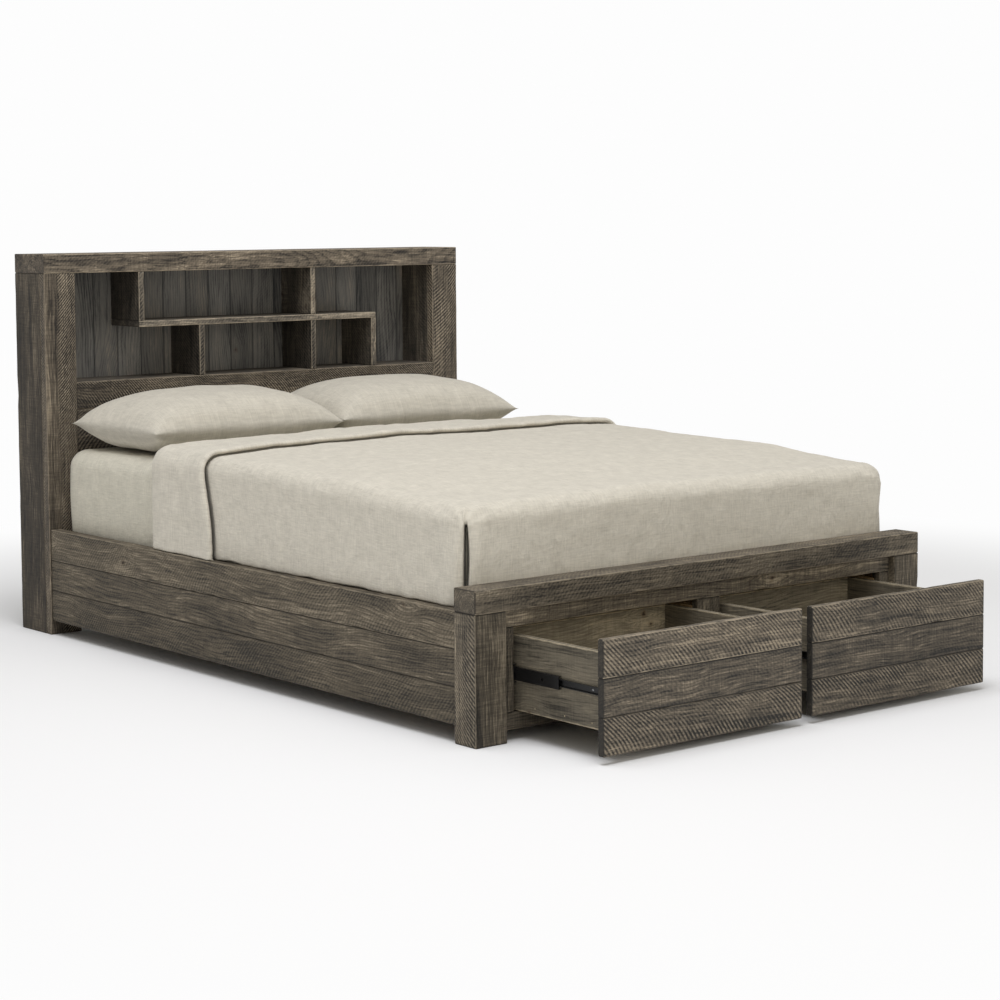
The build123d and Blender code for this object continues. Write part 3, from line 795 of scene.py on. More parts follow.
# ---- cloth
def linen(slot):
    """Washed linen: uneven threads both ways, slubs and soft creases, on the cloth's own map, with painted
    shade where the mesh's fold attribute is set.
    """
    bedding = settings().bedding
    cloth = {"duvet_linen": bedding.duvet, "pillow_linen": bedding.pillow}.get(slot, bedding.sheet)
    material, tree, shader = new_material(slot)
    place = tree.add("ShaderNodeUVMap", uv_map="cloth").outputs[0]
    across, down = tree.parts(place)[:2]
    wander = tree.times(tree.noise(place, (9.0, 9.0, 0.0), detail=2), 0.012)
    threads = []
    for way in (across, down):
        count = tree.times(tree.math("ADD", way, wander), math.pi / bedding.weave)
        threads.append(tree.math("ABSOLUTE", tree.math("SINE", count)))
    weave = tree.times(threads[0], threads[1])
    along_slub = tree.noise(place, (22.0, 240.0, 0.0), detail=4, rough=0.7)
    across_slub = tree.noise(place, (240.0, 22.0, 0.0), detail=4, rough=0.7)
    slub = tree.math("ADD", along_slub, across_slub)
    mottle = tree.noise(place, (24.0, 24.0, 0.0), detail=4, rough=0.6)
    shade = tree.times_plus(weave, 0.12, tree.times_plus(slub, 1.15, -0.62))
    shade = tree.stirred(shade, mottle, 0.7, clamp=True)
    # painted shade: where the mesh's fold attribute is set, the linen is darkened towards near black
    deep = tree.times(tree.named("fold", "Fac"), bedding.fold_shade)
    face = tree.mix(shade, rgba(cloth, 0.70), rgba(cloth, 1.10))
    tree.put(shader.inputs["Base Color"], tree.mix(deep, face, rgba(cloth, 0.06)))
    shader.inputs["Roughness"].default_value = 0.92
    shader.inputs["Specular IOR Level"].default_value = 0.18
    shader.inputs["Sheen Weight"].default_value = 0.12
    shader.inputs["Sheen Roughness"].default_value = 0.5
    fine = tree.bump(tree.times_plus(slub, 0.8, tree.times(weave, 0.5)), 0.00028, 0.8)
    soft = tree.noise(place, (19.0, 13.0, 0.0), detail=5, rough=0.62, distortion=0.9)
    crinkle = tree.noise(place, (62.0, 46.0, 0.0), detail=4, rough=0.65, distortion=0.7)
    soft = tree.times_plus(crinkle, 0.40, soft)
    crease = {"Height": soft, "Distance": 0.0062, "Strength": 0.6, "Normal": fine}
    tree.put(shader.inputs["Normal"], tree.add("ShaderNodeBump", crease).outputs[0])
    return material


MAKERS = {
    **{slot: stained_pine for slot in FINISHES},
    "duvet_linen": linen,
    "pillow_linen": linen,
    "fitted_sheet": linen,
    "black_slide_steel": coated_steel,
    "zinc_screws": plated,
    "bracket_steel": dull_plated,
    "bolt_steel": plated,
    "glide_plastic": plastic,
    "wood_filler": wood_filler,
}


def rounded(point, low, high, corner, edge):
    """Moves a point of a box's surface to a box rounded by corner in plan and by edge along its top."""
    x, y, z = point
    inner = (
        min(max(x, low[0] + corner), high[0] - corner),
        min(max(y, low[1] + corner), high[1] - corner),
    )
    off = Vector((x - inner[0], y - inner[1]))
    if off.x and off.y:
        reach = max(abs(off.x), abs(off.y))
        off = off.normalized() * reach
        inside, out = corner - reach, off.normalized()
        x, y = inner[0] + off.x, inner[1] + off.y
    else:
        ways = [(x - low[0], (-1, 0)), (high[0] - x, (1, 0)), (y - low[1], (0, -1)), (high[1] - y, (0, 1))]
        inside, out = min(ways)
        out = Vector(out)
    beside, below = max(0.0, edge - inside), max(0.0, edge - (high[2] - z))
    if beside and below:
        pull = max(beside, below) / math.hypot(beside, below)
        back = beside * (1 - pull)
        x, y, z = x - out.x * back, y - out.y * back, high[2] - (edge - below * pull)
    return Vector((x, y, z))


def spaced(low, high, step):
    """Even steps from low to high, both ends included."""
    count = max(1, round((high - low) / step))
    return list(np.linspace(low, high, count + 1))


def lines(*stops):
    """Grid lines through (place, step) stops: each step is used up to the next stop's place."""
    made = [stops[0][0]]
    for (low, step), (high, _) in zip(stops, stops[1:]):
        made += spaced(low, high, step)[1:]
    return made


BOX_FACES = {  # the axis that each face of a box lies across, and whether it is at that axis's high end
    "left": (0, 0),
    "right": (0, 1),
    "foot": (1, 0),
    "head": (1, 1),
    "under": (2, 0),
    "top": (2, 1),
}


class Shell:
    """A grid over some faces of a box, kept as points that can be moved before the mesh is made."""

    def __init__(self, xs, ys, zs, sides):
        self.xs, self.ys, self.zs = xs, ys, zs
        self.index, self.keys, self.faces, self.maps = {}, [], [], []
        last = (len(xs) - 1, len(ys) - 1, len(zs) - 1)
        for side in sides:
            axis, end = BOX_FACES[side]
            fixed = last[axis] * end
            a, b = [other for other in range(3) if other != axis]
            for i in range(last[a]):
                for j in range(last[b]):
                    quad = []
                    for di, dj in ((0, 0), (1, 0), (1, 1), (0, 1)):
                        key = [0, 0, 0]
                        key[axis], key[a], key[b] = fixed, i + di, j + dj
                        quad.append(tuple(key))
                    if (axis == 1) != (end == 0):
                        quad.reverse()
                    self.faces.append([self.vertex(key) for key in quad])
                    self.maps.append([self.flat(key, side) for key in quad])

    def vertex(self, key):
        if key not in self.index:
            self.index[key] = len(self.keys)
            self.keys.append(key)
        return self.index[key]

    def flat(self, key, side):
        """Where a point lies on the cloth when that side is laid flat."""
        x, y, z = self.xs[key[0]], self.ys[key[1]], self.zs[key[2]]
        drop = self.zs[-1] - z
        if side in ("left", "right"):
            return (x + (drop if side == "right" else -drop), y)
        if side in ("foot", "head"):
            return (x, y + (drop if side == "head" else -drop))
        return (x, y)

    def mesh(self, name, points):
        """The mesh of the grid with its points in those places."""
        made = bpy.data.meshes.new(name)
        made.from_pydata([tuple(point) for point in points], [], self.faces)
        lay_cloth(made, self.maps)
        made.shade_smooth()
        return made


def normals_of(mesh):
    """The normal at each point of a mesh."""
    values = np.empty(len(mesh.vertices) * 3)
    mesh.vertex_normals.foreach_get("vector", values)
    return values.reshape(-1, 3)


def fold_noise(point, size, seed, ridged=False):
    """Smooth noise from -1 to 1 with features of about that size."""
    at = Vector(point) / size + Vector((seed * 7.3, seed * 3.1, seed * 5.7))
    value = noise.fractal(at, 0.6, 2.0, 3)
    return (1 - 2 * abs(value)) if ridged else value


def smooth(low, high, value):
    """From 0 to 1 as the value goes from low to high, level at both ends."""
    share_of = min(1.0, max(0.0, (value - low) / (high - low)))
    return share_of * share_of * (3 - 2 * share_of)


# ---- bedding
def make_mattress():
    """The mattress in its fitted sheet, with full sides and soft pulls at its corners."""
    low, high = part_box("mattress")
    low, high = low + Vector((0.001, 0.001, 0)), high - Vector((0.001, 0.001, 0))
    fine, band = 0.014, 0.084
    xs = lines((low.x, fine), (low.x + band, 0.045), (high.x - band, fine), (high.x, 0))
    seen = (high.y - 0.55, 0.022), (high.y - band, fine)
    ys = lines((low.y, fine), (low.y + band, 0.045), *seen, (high.y, 0))
    zs = lines((low.z, 0.03), (high.z - 0.09, 0.012), (high.z, 0))
    shell = Shell(xs, ys, zs, ("left", "right", "foot", "head", "under", "top"))
    points = [rounded((xs[i], ys[j], zs[k]), low, high, 0.062, 0.055) for i, j, k in shell.keys]
    mesh = shell.mesh("fitted_mattress", points)
    moved = []
    for point, normal in zip(points, normals_of(mesh)):
        height = (point.z - low.z) / (high.z - low.z)
        belly = 0.004 * math.sin(math.pi * min(1.0, height))
        pulls = 0.0022 * fold_noise((point.x * 2.2, point.y * 2.2, point.z * 0.5), 0.16, 1)
        small = 0.0011 * fold_noise(point, 0.07, 2, ridged=True)
        out = (belly + pulls + small) * smooth(0.0, 0.25, height)
        from_corner = math.hypot(min(point.x - low.x, high.x - point.x), point.y - low.y)
        out -= 0.024 * math.exp(-((from_corner / 0.055) ** 2))
        moved.append(point + Vector(normal) * (out - 0.002))
    move_points(mesh, moved)
    outward(mesh)
    piece = new_object("fitted_mattress", mesh, finish_of("fitted_sheet"))
    stand_in(piece, "mattress")


FLAP_EDGE = (  # of the folded-back edge, from the body up over the roll: along, above the duvet, how dark the painted shadow under the roll is
    (-0.070, 0.0000, 0.0),
    (-0.045, 0.0016, 0.0),
    (-0.026, 0.0020, 0.0),
    (-0.012, 0.0004, 0.0),
    (-0.004, -0.0018, 0.08),
    (0.0050, -0.0034, 0.7),
    (0.0170, -0.0042, 1.0),
    (0.0300, -0.0010, 1.0),
    (0.0190, 0.0022, 1.0),
    (0.0080, 0.0038, 1.0),
    (0.0018, 0.0062, 0.45),
    (-0.0014, 0.0100, 0.1),
    (0.0000, 0.0148, 0.0),
    (0.0045, 0.0182, 0.0),
    (0.0120, 0.0196, 0.0),
    (0.0240, 0.0192, 0.0),
    (0.0420, 0.0176, 0.0),
)
FOLD_END = (  # of the fold itself, from the flap down to the mattress
    (-0.060, 0.0150),
    (-0.040, 0.0148),
    (-0.024, 0.0138),
    (-0.012, 0.0105),
    (-0.004, 0.0050),
    (-0.0005, -0.0010),
    (-0.0030, -0.0075),
    (-0.0090, -0.0120),
)


HEM_TUCK = (0.0035, 0.0010)  # how far the lowest rows are drawn in
PLAN_CORNER, TOP_RIM = 0.070, 0.046  # radii of the duvet's corners in plan and of its top edges


def duvet_lines(low, high, edge, fold, flap_rise):
    """Grid lines of the duvet: across, the number at the foot, along and up.

    Each line along has its place, its lift over the duvet and its share of the flap's slant.
    """
    near, far = 0.036, 0.106
    fine, medium, coarse = 0.0024, 0.010, 0.022
    left = (low.x, fine), (low.x + near, medium), (low.x + far, coarse)
    right = (high.x - far, medium), (high.x - near, fine), (high.x, 0)
    foot = (low.y, fine), (low.y + near, medium), (low.y + far, coarse)
    foot_ys = lines(*foot, (edge - 0.15, 0.016), (edge - 0.085, 0))
    shifts = [(y, 0.0, smooth(low.y + 0.5, edge - 0.1, y)) for y in foot_ys]
    shifts += [(edge + along, lift, 1.0) for along, lift, _ in FLAP_EDGE]
    between = spaced(edge + 0.050, fold - 0.075, 0.018)
    shifts += [(y, flap_rise, 1 - smooth(edge, fold - 0.05, y)) for y in between]
    shifts += [(fold + along, lift, 0.0) for along, lift in FOLD_END]
    zs = [low.z, low.z + 0.0015, low.z + 0.005]
    zs += spaced(low.z + 0.014, high.z - 0.06, 0.012) + spaced(high.z - 0.05, high.z, 0.008)
    return lines(*left, *right), len(foot_ys), shifts, zs


def crown(point, low, high, edge):
    """How much higher the duvet's top lies: low towards the foot and full by the flap."""
    rise = 0.016 * smooth(low.y + 0.2, edge, point.y)
    rise -= 0.024 * (1 - smooth(low.y, low.y + 0.55, point.y))
    rise += 0.012 * (1 - (point.x / high.x) ** 2)
    return rise + 0.006 * fold_noise((point.x, point.y, 0), 0.42, 3)


def duvet_folds(point, height, from_foot, crease):
    """Long soft folds on the drop, faint creases everywhere, and gathers that draw in the hem."""
    x, y, z = point
    out = 0.0048 * (1 - smooth(0.25, 0.95, height)) * fold_noise((x, y, z * 0.25), 0.11, 4)
    out += crease * 0.6 * fold_noise((x, y * 0.6, z), 0.085, 5, ridged=True)
    out += crease * 0.35 * fold_noise((x * 0.5, y, z), 0.05, 6, ridged=True)
    gathers = noise.noise(Vector((x * 38, y * 38, z * 5)))
    near_foot = 0.35 + 0.65 * (1 - smooth(0.15, 0.7, from_foot))
    return out + 0.0042 * (1 - smooth(0.0, 0.26, height)) * near_foot * gathers


def make_duvet():
    """One sheet over the mattress: split corners at the foot, and its top end folded back."""
    bedding = settings().bedding
    low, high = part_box("duvet")
    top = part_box("mattress")[1].z + 0.022
    low = Vector((low.x + 0.001, low.y + 0.001, low.z + 0.001))
    high = Vector((high.x - 0.001, high.y, top))
    fold, edge = high.y, high.y - bedding.flap
    xs, foot_count, shifts, zs = duvet_lines(low, high, edge, fold, bedding.flap_rise)
    ys = [y for y, _, _ in shifts]
    shell = Shell(xs, ys, zs, ("left", "right", "foot", "top"))
    open_end = high + Vector((0, 0.3, 0))
    plain = []
    for i, j, k in shell.keys:
        down = smooth(0.0, 0.22, high.z - zs[k]) * 0.6 + 0.4 * smooth(high.x - 0.35, high.x, abs(xs[i]))
        y = max(ys[j] - shifts[j][2] * bedding.flap_drop * down, low.y)
        plain.append(rounded((xs[i], y, zs[k]), low, open_end, PLAN_CORNER, TOP_RIM))
    mesh = shell.mesh("linen_duvet", plain)
    moved, painted_shade = [], []
    for (i, j, k), point, normal in zip(shell.keys, plain, normals_of(mesh)):
        lift, height = shifts[j][1], (point.z - low.z) / (high.z - low.z)
        on_side = 1 - smooth(0.80, 1.0, height)
        normal = Vector(normal)
        if j >= foot_count - 1:
            side_x = point.x - min(max(point.x, low.x + TOP_RIM), high.x - TOP_RIM)
            normal = Vector((side_x, 0, max(0.0, point.z - high.z + TOP_RIM))).normalized()
        out = lift * (1.0 + 0.15 * fold_noise((point.x, 0, point.z), 0.09, 8))
        out *= 1.0 + (0.25 if lift < 0 else 0.1) * on_side
        out += duvet_folds(point, height, ys[j] - low.y, bedding.crease)
        out -= HEM_TUCK[k] if k < len(HEM_TUCK) else 0.0
        split, depth = corner_split(xs[i], ys[j], point, low, high, j == 0)
        in_flap = j - foot_count
        painted_flap_shadow = FLAP_EDGE[in_flap][2] if 0 <= in_flap < len(FLAP_EDGE) else 0.0
        # painted shade: dark deep in the corner splits, and a painted shadow under the flap's rolled edge,
        # stronger on the sides
        painted_shade.append(max(depth, painted_flap_shadow * (0.30 + 0.48 * on_side)))
        rise = crown(point, low, high, edge) * smooth(0.0, 1.0, height)
        hem = 0.005 * fold_noise((point.x, point.y, 0), 0.13, 9) * (1 - smooth(0.0, 0.10, height))
        moved.append(point + normal * (out + split) + Vector((0, 0, rise + max(0.0, hem))))
    move_points(mesh, moved)
    # the fold attribute carries this painted shade to the linen
    store(mesh, "fold", "FLOAT", painted_shade)
    piece = new_object("linen_duvet", mesh, finish_of("duvet_linen"))
    wall = piece.modifiers.new("wall", "SOLIDIFY")
    wall.thickness, wall.offset, wall.use_rim = bedding.quilt, -1.0, True
    piece = baked(piece)
    stand_in(piece, "duvet")


def corner_split(x, y, point, low, high, on_foot):
    """How far the duvet moves out at the split of a foot corner, and how dark the painted shade in the
    split is.
    """
    from_side = min(x - low.x, high.x - x)
    along = from_side if on_foot else low.y - y
    if not on_foot and from_side > 0.001 and point.z < high.z - 0.05 or abs(along) > 0.25:
        return 0.0, 0.0
    if not on_foot and from_side > 0.001:
        along = from_side - (y - low.y)
    height = (point.z - low.z) / (high.z - low.z)
    centre = 0.004 + 0.007 * math.sin(2.6 * height)
    wide = 0.0066 + 0.0054 * math.sin(math.pi * min(1.0, height / 0.84))
    gap = abs(along - centre)
    cut = -0.052 * (1 - smooth(wide * 0.7, wide * 1.25, gap)) * (1.0 - smooth(0.77, 0.86, height))
    bulge = 0.0075 if along < centre else 0.0045
    roll = bulge * math.exp(-(((gap - wide * 3.2) / 0.020) ** 2)) * (1.0 - smooth(0.70, 1.0, height))
    over = (point.z - low.z) - 0.84 * (high.z - low.z)
    reach = math.hypot(along * 0.55, over)
    turn = math.atan2(over, along * 0.55)
    fan = 0.0020 * math.sin(9.0 * turn) * math.exp(-((reach / 0.055) ** 2)) * smooth(0.0, 0.02, reach)
    # the second value is painted shade, darkest deep in the split
    return cut + roll + (fan if over > -0.02 else 0.0), min(1.0, max(0.0, cut / -0.022))


def baked(piece):
    """The piece with its modifiers made part of its mesh."""
    view = bpy.context.evaluated_depsgraph_get()
    plain = bpy.data.meshes.new_from_object(piece.evaluated_get(view), depsgraph=view)
    plain.name = piece.name
    piece.modifiers.clear()
    piece.data = plain
    return piece


PILLOW_GRID = (60, 42)  # faces across and down each panel
PILLOW_UPPER, PILLOW_LOWER = 0.112, 0.074  # heights over and under the seam
PILLOW_SWELL = 0.007  # the most that the air may move a point of a pillow
AIR_FRAMES = 16
SEAM_LIP = 0.005  # how far the seam stands out
PILLOW_PLACES = {  # turn and tilt in degrees, and the seed of each pillow's waves
    "pillow_left": {"turn": 1.5, "tilt": 1.5, "seed": 11},
    "pillow_right": {"turn": -1.0, "tilt": 2.0, "seed": 23},
}


def pillow_cloth(width, depth):
    """Two flat panels joined round their edges: points, faces, maps, and each point's place on its panel.

    That place is from -1 to 1 across and down, then 1 above, -1 below or 0 on the seam.
    """
    across, down = PILLOW_GRID
    index, points, faces, maps, panel = {}, [], [], [], []
    for side in (1, -1):
        for i in range(across + 1):
            for j in range(down + 1):
                layer = 0 if i in (0, across) or j in (0, down) else side
                key = (i, j, layer)
                if key in index:
                    continue
                u, v = 2 * i / across - 1, 2 * j / down - 1
                x = u * width / 2 * (1 - 0.035 * (1 - v * v) * u * u)
                y = v * depth / 2 * (1 - 0.045 * (1 - u * u) * v * v)
                index[key] = len(points)
                points.append((x, y, 0.0))
                panel.append((u, v, layer))
    for side in (1, -1):
        for i in range(across):
            for j in range(down):
                quad = [(i, j), (i + 1, j), (i + 1, j + 1), (i, j + 1)][::side]
                faces.append([index.get((a, b, 0), index.get((a, b, side))) for a, b in quad])
                maps.append([(a / across * width, b / down * depth) for a, b in quad])
    return np.array(points), faces, maps, np.array(panel)


def blown(piece, frames):
    """Fills a closed cloth with air for some frames and keeps the shape."""
    cloth = piece.modifiers.new("air", "CLOTH")
    made = cloth.settings
    made.quality, made.mass = 7, 0.25
    made.tension_stiffness = made.compression_stiffness = 18
    made.shear_stiffness, made.bending_stiffness = 8, 0.35
    made.use_pressure, made.uniform_pressure_force = True, 5.0
    made.effector_weights.gravity = 0
    cloth.collision_settings.use_collision = False
    cloth.point_cache.frame_start, cloth.point_cache.frame_end = 1, frames
    for step in range(1, frames + 1):
        bpy.context.scene.frame_set(step)
    view = bpy.context.evaluated_depsgraph_get()
    co = np.empty(len(piece.data.vertices) * 3)
    piece.evaluated_get(view).data.vertices.foreach_get("co", co)
    piece.modifiers.remove(cloth)
    bpy.context.scene.frame_set(1)
    return co.reshape(-1, 3)


def puffed(at, panel, seed):
    """The full shape of a pillow case, from its two flat panels."""
    u, v, side = panel.T
    round_both = (1 - np.abs(u) ** 2.8) * (1 - np.abs(v) ** 2.4)
    full = np.clip(round_both, 0, 1) ** 0.46
    puckers = np.sin(u * 61) * 0.5 + np.sin(u * 97 + 2) * 0.3 + np.sin(v * 53 + 1) * 0.4
    near_seam = np.clip(1 - full / 0.55, 0, 1) * np.clip(full / 0.12, 0, 1)
    shaped = at.copy()
    shaped[:, 2] = side * (0.105 * full + 0.0030 * puckers * near_seam)
    shaped[:, 2] += [0.006 * noise.noise(Vector((x * 7, y * 7, seed))) for x, y in at[:, :2]]
    return shaped


def make_pillow(node):
    """A stuffed pillow case, full in the middle, with drawn-out corners and a puckered seam."""
    how = PILLOW_PLACES[node]
    low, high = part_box(node)
    width, depth = high.x - low.x + 0.05, high.y - low.y + 0.05
    points, faces, maps, panel = pillow_cloth(width, depth)
    mesh = bpy.data.meshes.new("linen_" + node)
    mesh.from_pydata(points.tolist(), [], faces)
    lay_cloth(mesh, maps)
    piece = new_object("linen_" + node, mesh, finish_of("pillow_linen"))
    at = start = puffed(points, panel, how["seed"])
    move_points(mesh, start)
    moved = blown(piece, AIR_FRAMES) - start
    far = np.linalg.norm(moved, axis=1, keepdims=True)
    at = start + moved * np.minimum(1, PILLOW_SWELL / np.maximum(far, 1e-9))
    on_rim = panel[:, 2] == 0
    by_rim = (np.abs(panel[:, :2]).max(1) > 0.95) & ~on_rim
    at[by_rim, 2] *= 0.86
    at[:, :2] += SEAM_LIP * np.where(np.abs(panel[:, :2]) > 0.999, np.sign(panel[:, :2]), 0.0)
    # painted shade along the seam: darkest on the lower panel just under it, faint on the seam itself, none
    # above it
    beside = np.where(by_rim, 0.12 - 0.12 * panel[:, 2], 0.0)
    store(mesh, "fold", "FLOAT", np.where(on_rim, 0.10, beside))
    at = laid_down(at, low, high, how)
    move_points(mesh, at)
    mesh.shade_smooth()
    seam = mesh.attributes.new("crease_edge", "FLOAT", "EDGE")
    ends = np.array([edge.vertices[:] for edge in mesh.edges])
    seam.data.foreach_set("value", (on_rim[ends].all(1) * 0.7).astype(np.float32))
    finer = piece.modifiers.new("finer", "SUBSURF")
    finer.levels = finer.render_levels = 1
    piece = baked(piece)
    stand_in(piece, node)


def laid_down(at, low, high, how):
    """Sizes a blown pillow to its place, flattens its underside and lets its corners stand free."""
    middle = (low + high) / 2
    at = at - (at.min(0) + at.max(0)) / 2
    size = at.max(0) - at.min(0)
    wanted = (high.x - low.x + 0.012, high.y - low.y + 0.006)
    at[:, 0] *= wanted[0] / size[0]
    at[:, 1] *= wanted[1] / size[1]
    above = at[:, 2] / at[:, 2].max() * PILLOW_UPPER
    below = at[:, 2] / -at[:, 2].min() * (PILLOW_LOWER + 0.035)
    at[:, 2] = np.where(at[:, 2] > 0, above, below)
    roll = 0.02
    over = at[:, 2] + PILLOW_LOWER - roll
    at[over < 0, 2] = roll * np.exp(over[over < 0] / roll) - PILLOW_LOWER
    angle, tilt = math.radians(how["turn"]), math.radians(how["tilt"])
    x, y = at[:, 0].copy(), at[:, 1].copy()
    at[:, 0] = x * math.cos(angle) - y * math.sin(angle)
    at[:, 1] = x * math.sin(angle) + y * math.cos(angle)
    at[:, 2] += (at[:, 1] + (high.y - low.y) / 2) * math.tan(tilt) * 0.5
    return at + np.array((middle.x, middle.y, low.z + PILLOW_LOWER + 0.001))


# ---- screws and nails, repeated by geometry nodes
def node_group(name, inputs):
    """A geometry node group with a geometry input and those named inputs, and its Tree."""
    group = bpy.data.node_groups.new(name, "GeometryNodeTree")
    face = group.interface
    face.new_socket("Geometry", in_out="INPUT", socket_type="NodeSocketGeometry")
    for label, kind, value in inputs:
        socket = face.new_socket(label, in_out="INPUT", socket_type=kind)
        if value is not None:
            socket.default_value = value
    face.new_socket("Geometry", in_out="OUTPUT", socket_type="NodeSocketGeometry")
    tree = Tree(group)
    return tree, tree.add("NodeGroupInput").outputs, tree.add("NodeGroupOutput").inputs


def set_inputs(modifier, **values):
    """Sets a modifier's inputs by the labels of their sockets, with _ for a space."""
    for item in modifier.node_group.interface.items_tree:
        word = item.name.replace(" ", "_")
        if item.item_type == "SOCKET" and item.in_out == "INPUT" and word in values:
            modifier[item.identifier] = values[word]


def repeated(name, places, ways, group, slot, **values):
    """Sets a group's shape at each place, turned towards its way, and returns the plain piece."""
    mesh = bpy.data.meshes.new(name)
    mesh.from_pydata([tuple(place) for place in places], [], [])
    store(mesh, "way", "FLOAT_VECTOR", ways)
    piece = new_object(name, mesh)
    modifier = piece.modifiers.new("repeat", "NODES")
    modifier.node_group = group
    set_inputs(modifier, Finish=finish_of(slot), **values)
    piece = baked(piece)
    if not piece.data.materials:
        piece.data.materials.append(finish_of(slot))
    return piece


def spread(tree, shape, given, outputs):
    """Puts a shape at each point of the input, turned towards the way attribute."""
    way = tree.add("GeometryNodeInputNamedAttribute", {0: "way"}, data_type="FLOAT_VECTOR").outputs[0]
    turn = tree.add("FunctionNodeAlignRotationToVector", {"Vector": way}, axis="Z").outputs[0]
    values = {"Points": given["Geometry"], "Instance": shape, "Rotation": turn}
    set_down = tree.add("GeometryNodeInstanceOnPoints", values).outputs[0]
    real = tree.add("GeometryNodeRealizeInstances", {0: set_down}).outputs[0]
    named = tree.add("GeometryNodeSetMaterial", {0: real, "Material": given["Finish"]}).outputs[0]
    tree.put(outputs[0], named)


def screw_group():
    """Pan-head screws with a crossed recess; the way points out of the head."""
    tree, given, outputs = node_group(
        "pan_head_screws",
        [
            ("Head Radius", "NodeSocketFloat", 0.0034),
            ("Head Height", "NodeSocketFloat", 0.0014),
            ("Shank Radius", "NodeSocketFloat", 0.002),
            ("Shank Length", "NodeSocketFloat", 0.013),
            ("Recess", "NodeSocketFloat", 0.0036),
            ("Finish", "NodeSocketMaterial", None),
        ],
    )
    ball = tree.add(
        "GeometryNodeMeshUVSphere", {"Segments": 20, "Rings": 14, "Radius": given["Head Radius"]}
    ).outputs[0]
    flat = tree.joined(1.0, 1.0, tree.math("DIVIDE", given["Head Height"], given["Head Radius"]))
    dome = tree.add("GeometryNodeTransform", {"Geometry": ball, "Scale": flat}).outputs[0]
    slots = []
    for sides in ((given["Recess"], 0.0007), (0.0007, given["Recess"])):
        size = tree.joined(sides[0], sides[1], 0.0016)
        slot = tree.add("GeometryNodeMeshCube", {"Size": size}).outputs[0]
        up = tree.joined(0.0, 0.0, given["Head Height"])
        slots.append(tree.add("GeometryNodeTransform", {"Geometry": slot, "Translation": up}).outputs[0])
    cut = tree.add("GeometryNodeMeshBoolean", operation="DIFFERENCE")
    tree.put(cut.inputs[0], dome)
    for slot in slots:
        tree.put(cut.inputs[1], slot)
    stem = tree.add(
        "GeometryNodeMeshCylinder",
        {"Vertices": 12, "Radius": given["Shank Radius"], "Depth": given["Shank Length"]},
    ).outputs[0]
    down = tree.joined(0.0, 0.0, tree.times(given["Shank Length"], -0.5))
    stem = tree.add("GeometryNodeTransform", {"Geometry": stem, "Translation": down}).outputs[0]
    join = tree.add("GeometryNodeJoinGeometry")
    tree.put(join.inputs[0], stem)
    tree.put(join.inputs[0], cut.outputs[0])
    spread(tree, join.outputs[0], given, outputs)
    return tree.tree


def filler_group():
    """Small low domes of filler over nail heads; the way points out of the wood."""
    tree, given, outputs = node_group(
        "nail_fillers",
        [
            ("Radius", "NodeSocketFloat", 0.0022),
            ("Height", "NodeSocketFloat", 0.0005),
            ("Finish", "NodeSocketMaterial", None),
        ],
    )
    ball = tree.add("GeometryNodeMeshIcoSphere", {"Subdivisions": 3, "Radius": given["Radius"]}).outputs[0]
    flat = tree.joined(1.0, 1.0, tree.math("DIVIDE", given["Height"], given["Radius"]))
    dome = tree.add("GeometryNodeTransform", {"Geometry": ball, "Scale": flat}).outputs[0]
    spread(tree, dome, given, outputs)
    return tree.tree


def make_fillers():
    """Filled nails of both drawer boxes, in two rows beside each slide and at both ends."""
    group = filler_group()
    for word in SIDES:
        low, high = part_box(f"drawer_{word}_sides")
        rng = random.Random("nails " + word)
        places, ways = [], []
        for x, out in ((low.x, -1.0), (high.x, 1.0)):
            for y in (low.y + 0.008, high.y - 0.010):
                for up in (0.16, 0.30, 0.68, 0.84):
                    z = low.z + up * (high.z - low.z) + rng.uniform(-0.003, 0.003)
                    places.append((x, y + rng.uniform(-0.002, 0.002), z))
                    ways.append((out, 0.0, 0.0))
            for run in range(4):
                y = low.y + (0.12 + 0.25 * run) * (high.y - low.y) + rng.uniform(-0.01, 0.01)
                places.append((x, y, low.z + 0.014 + rng.uniform(-0.001, 0.001)))
                ways.append((out, 0.0, 0.0))
        piece = repeated(f"nail_fillers_{word}", places, ways, group, "wood_filler")
        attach(piece, frame["nodes"][f"drawer_{word}_sides"]["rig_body"])


def screw_places(node):
    """Seats of a node's screws, and the way that each head faces."""
    source, places, ways = merged_copy(node), [], []
    for island in islands(source):
        low, high = corners(island)
        middle = (low + high) / 2
        points = np.array([vert.co for vert in island])
        wide = np.hypot(points[:, 1] - middle[1], points[:, 2] - middle[2]) > 0.0028
        head = points[wide, 0]
        out = 1.0 if head.mean() > middle[0] else -1.0
        places.append((head.min() if out > 0 else head.max(), middle[1], middle[2]))
        ways.append((out, 0.0, 0.0))
    source.free()
    return places, ways


def make_screws():
    """The screws of the slides' fixed members and of the drawers' runners."""
    group = screw_group()
    for node in ("cabinet_slide_screws", "drawer_left_runner_screws", "drawer_right_runner_screws"):
        places, ways = screw_places(node)
        piece = repeated("pan_head_" + node, places, ways, group, "zinc_screws")
        stand_in(piece, node)


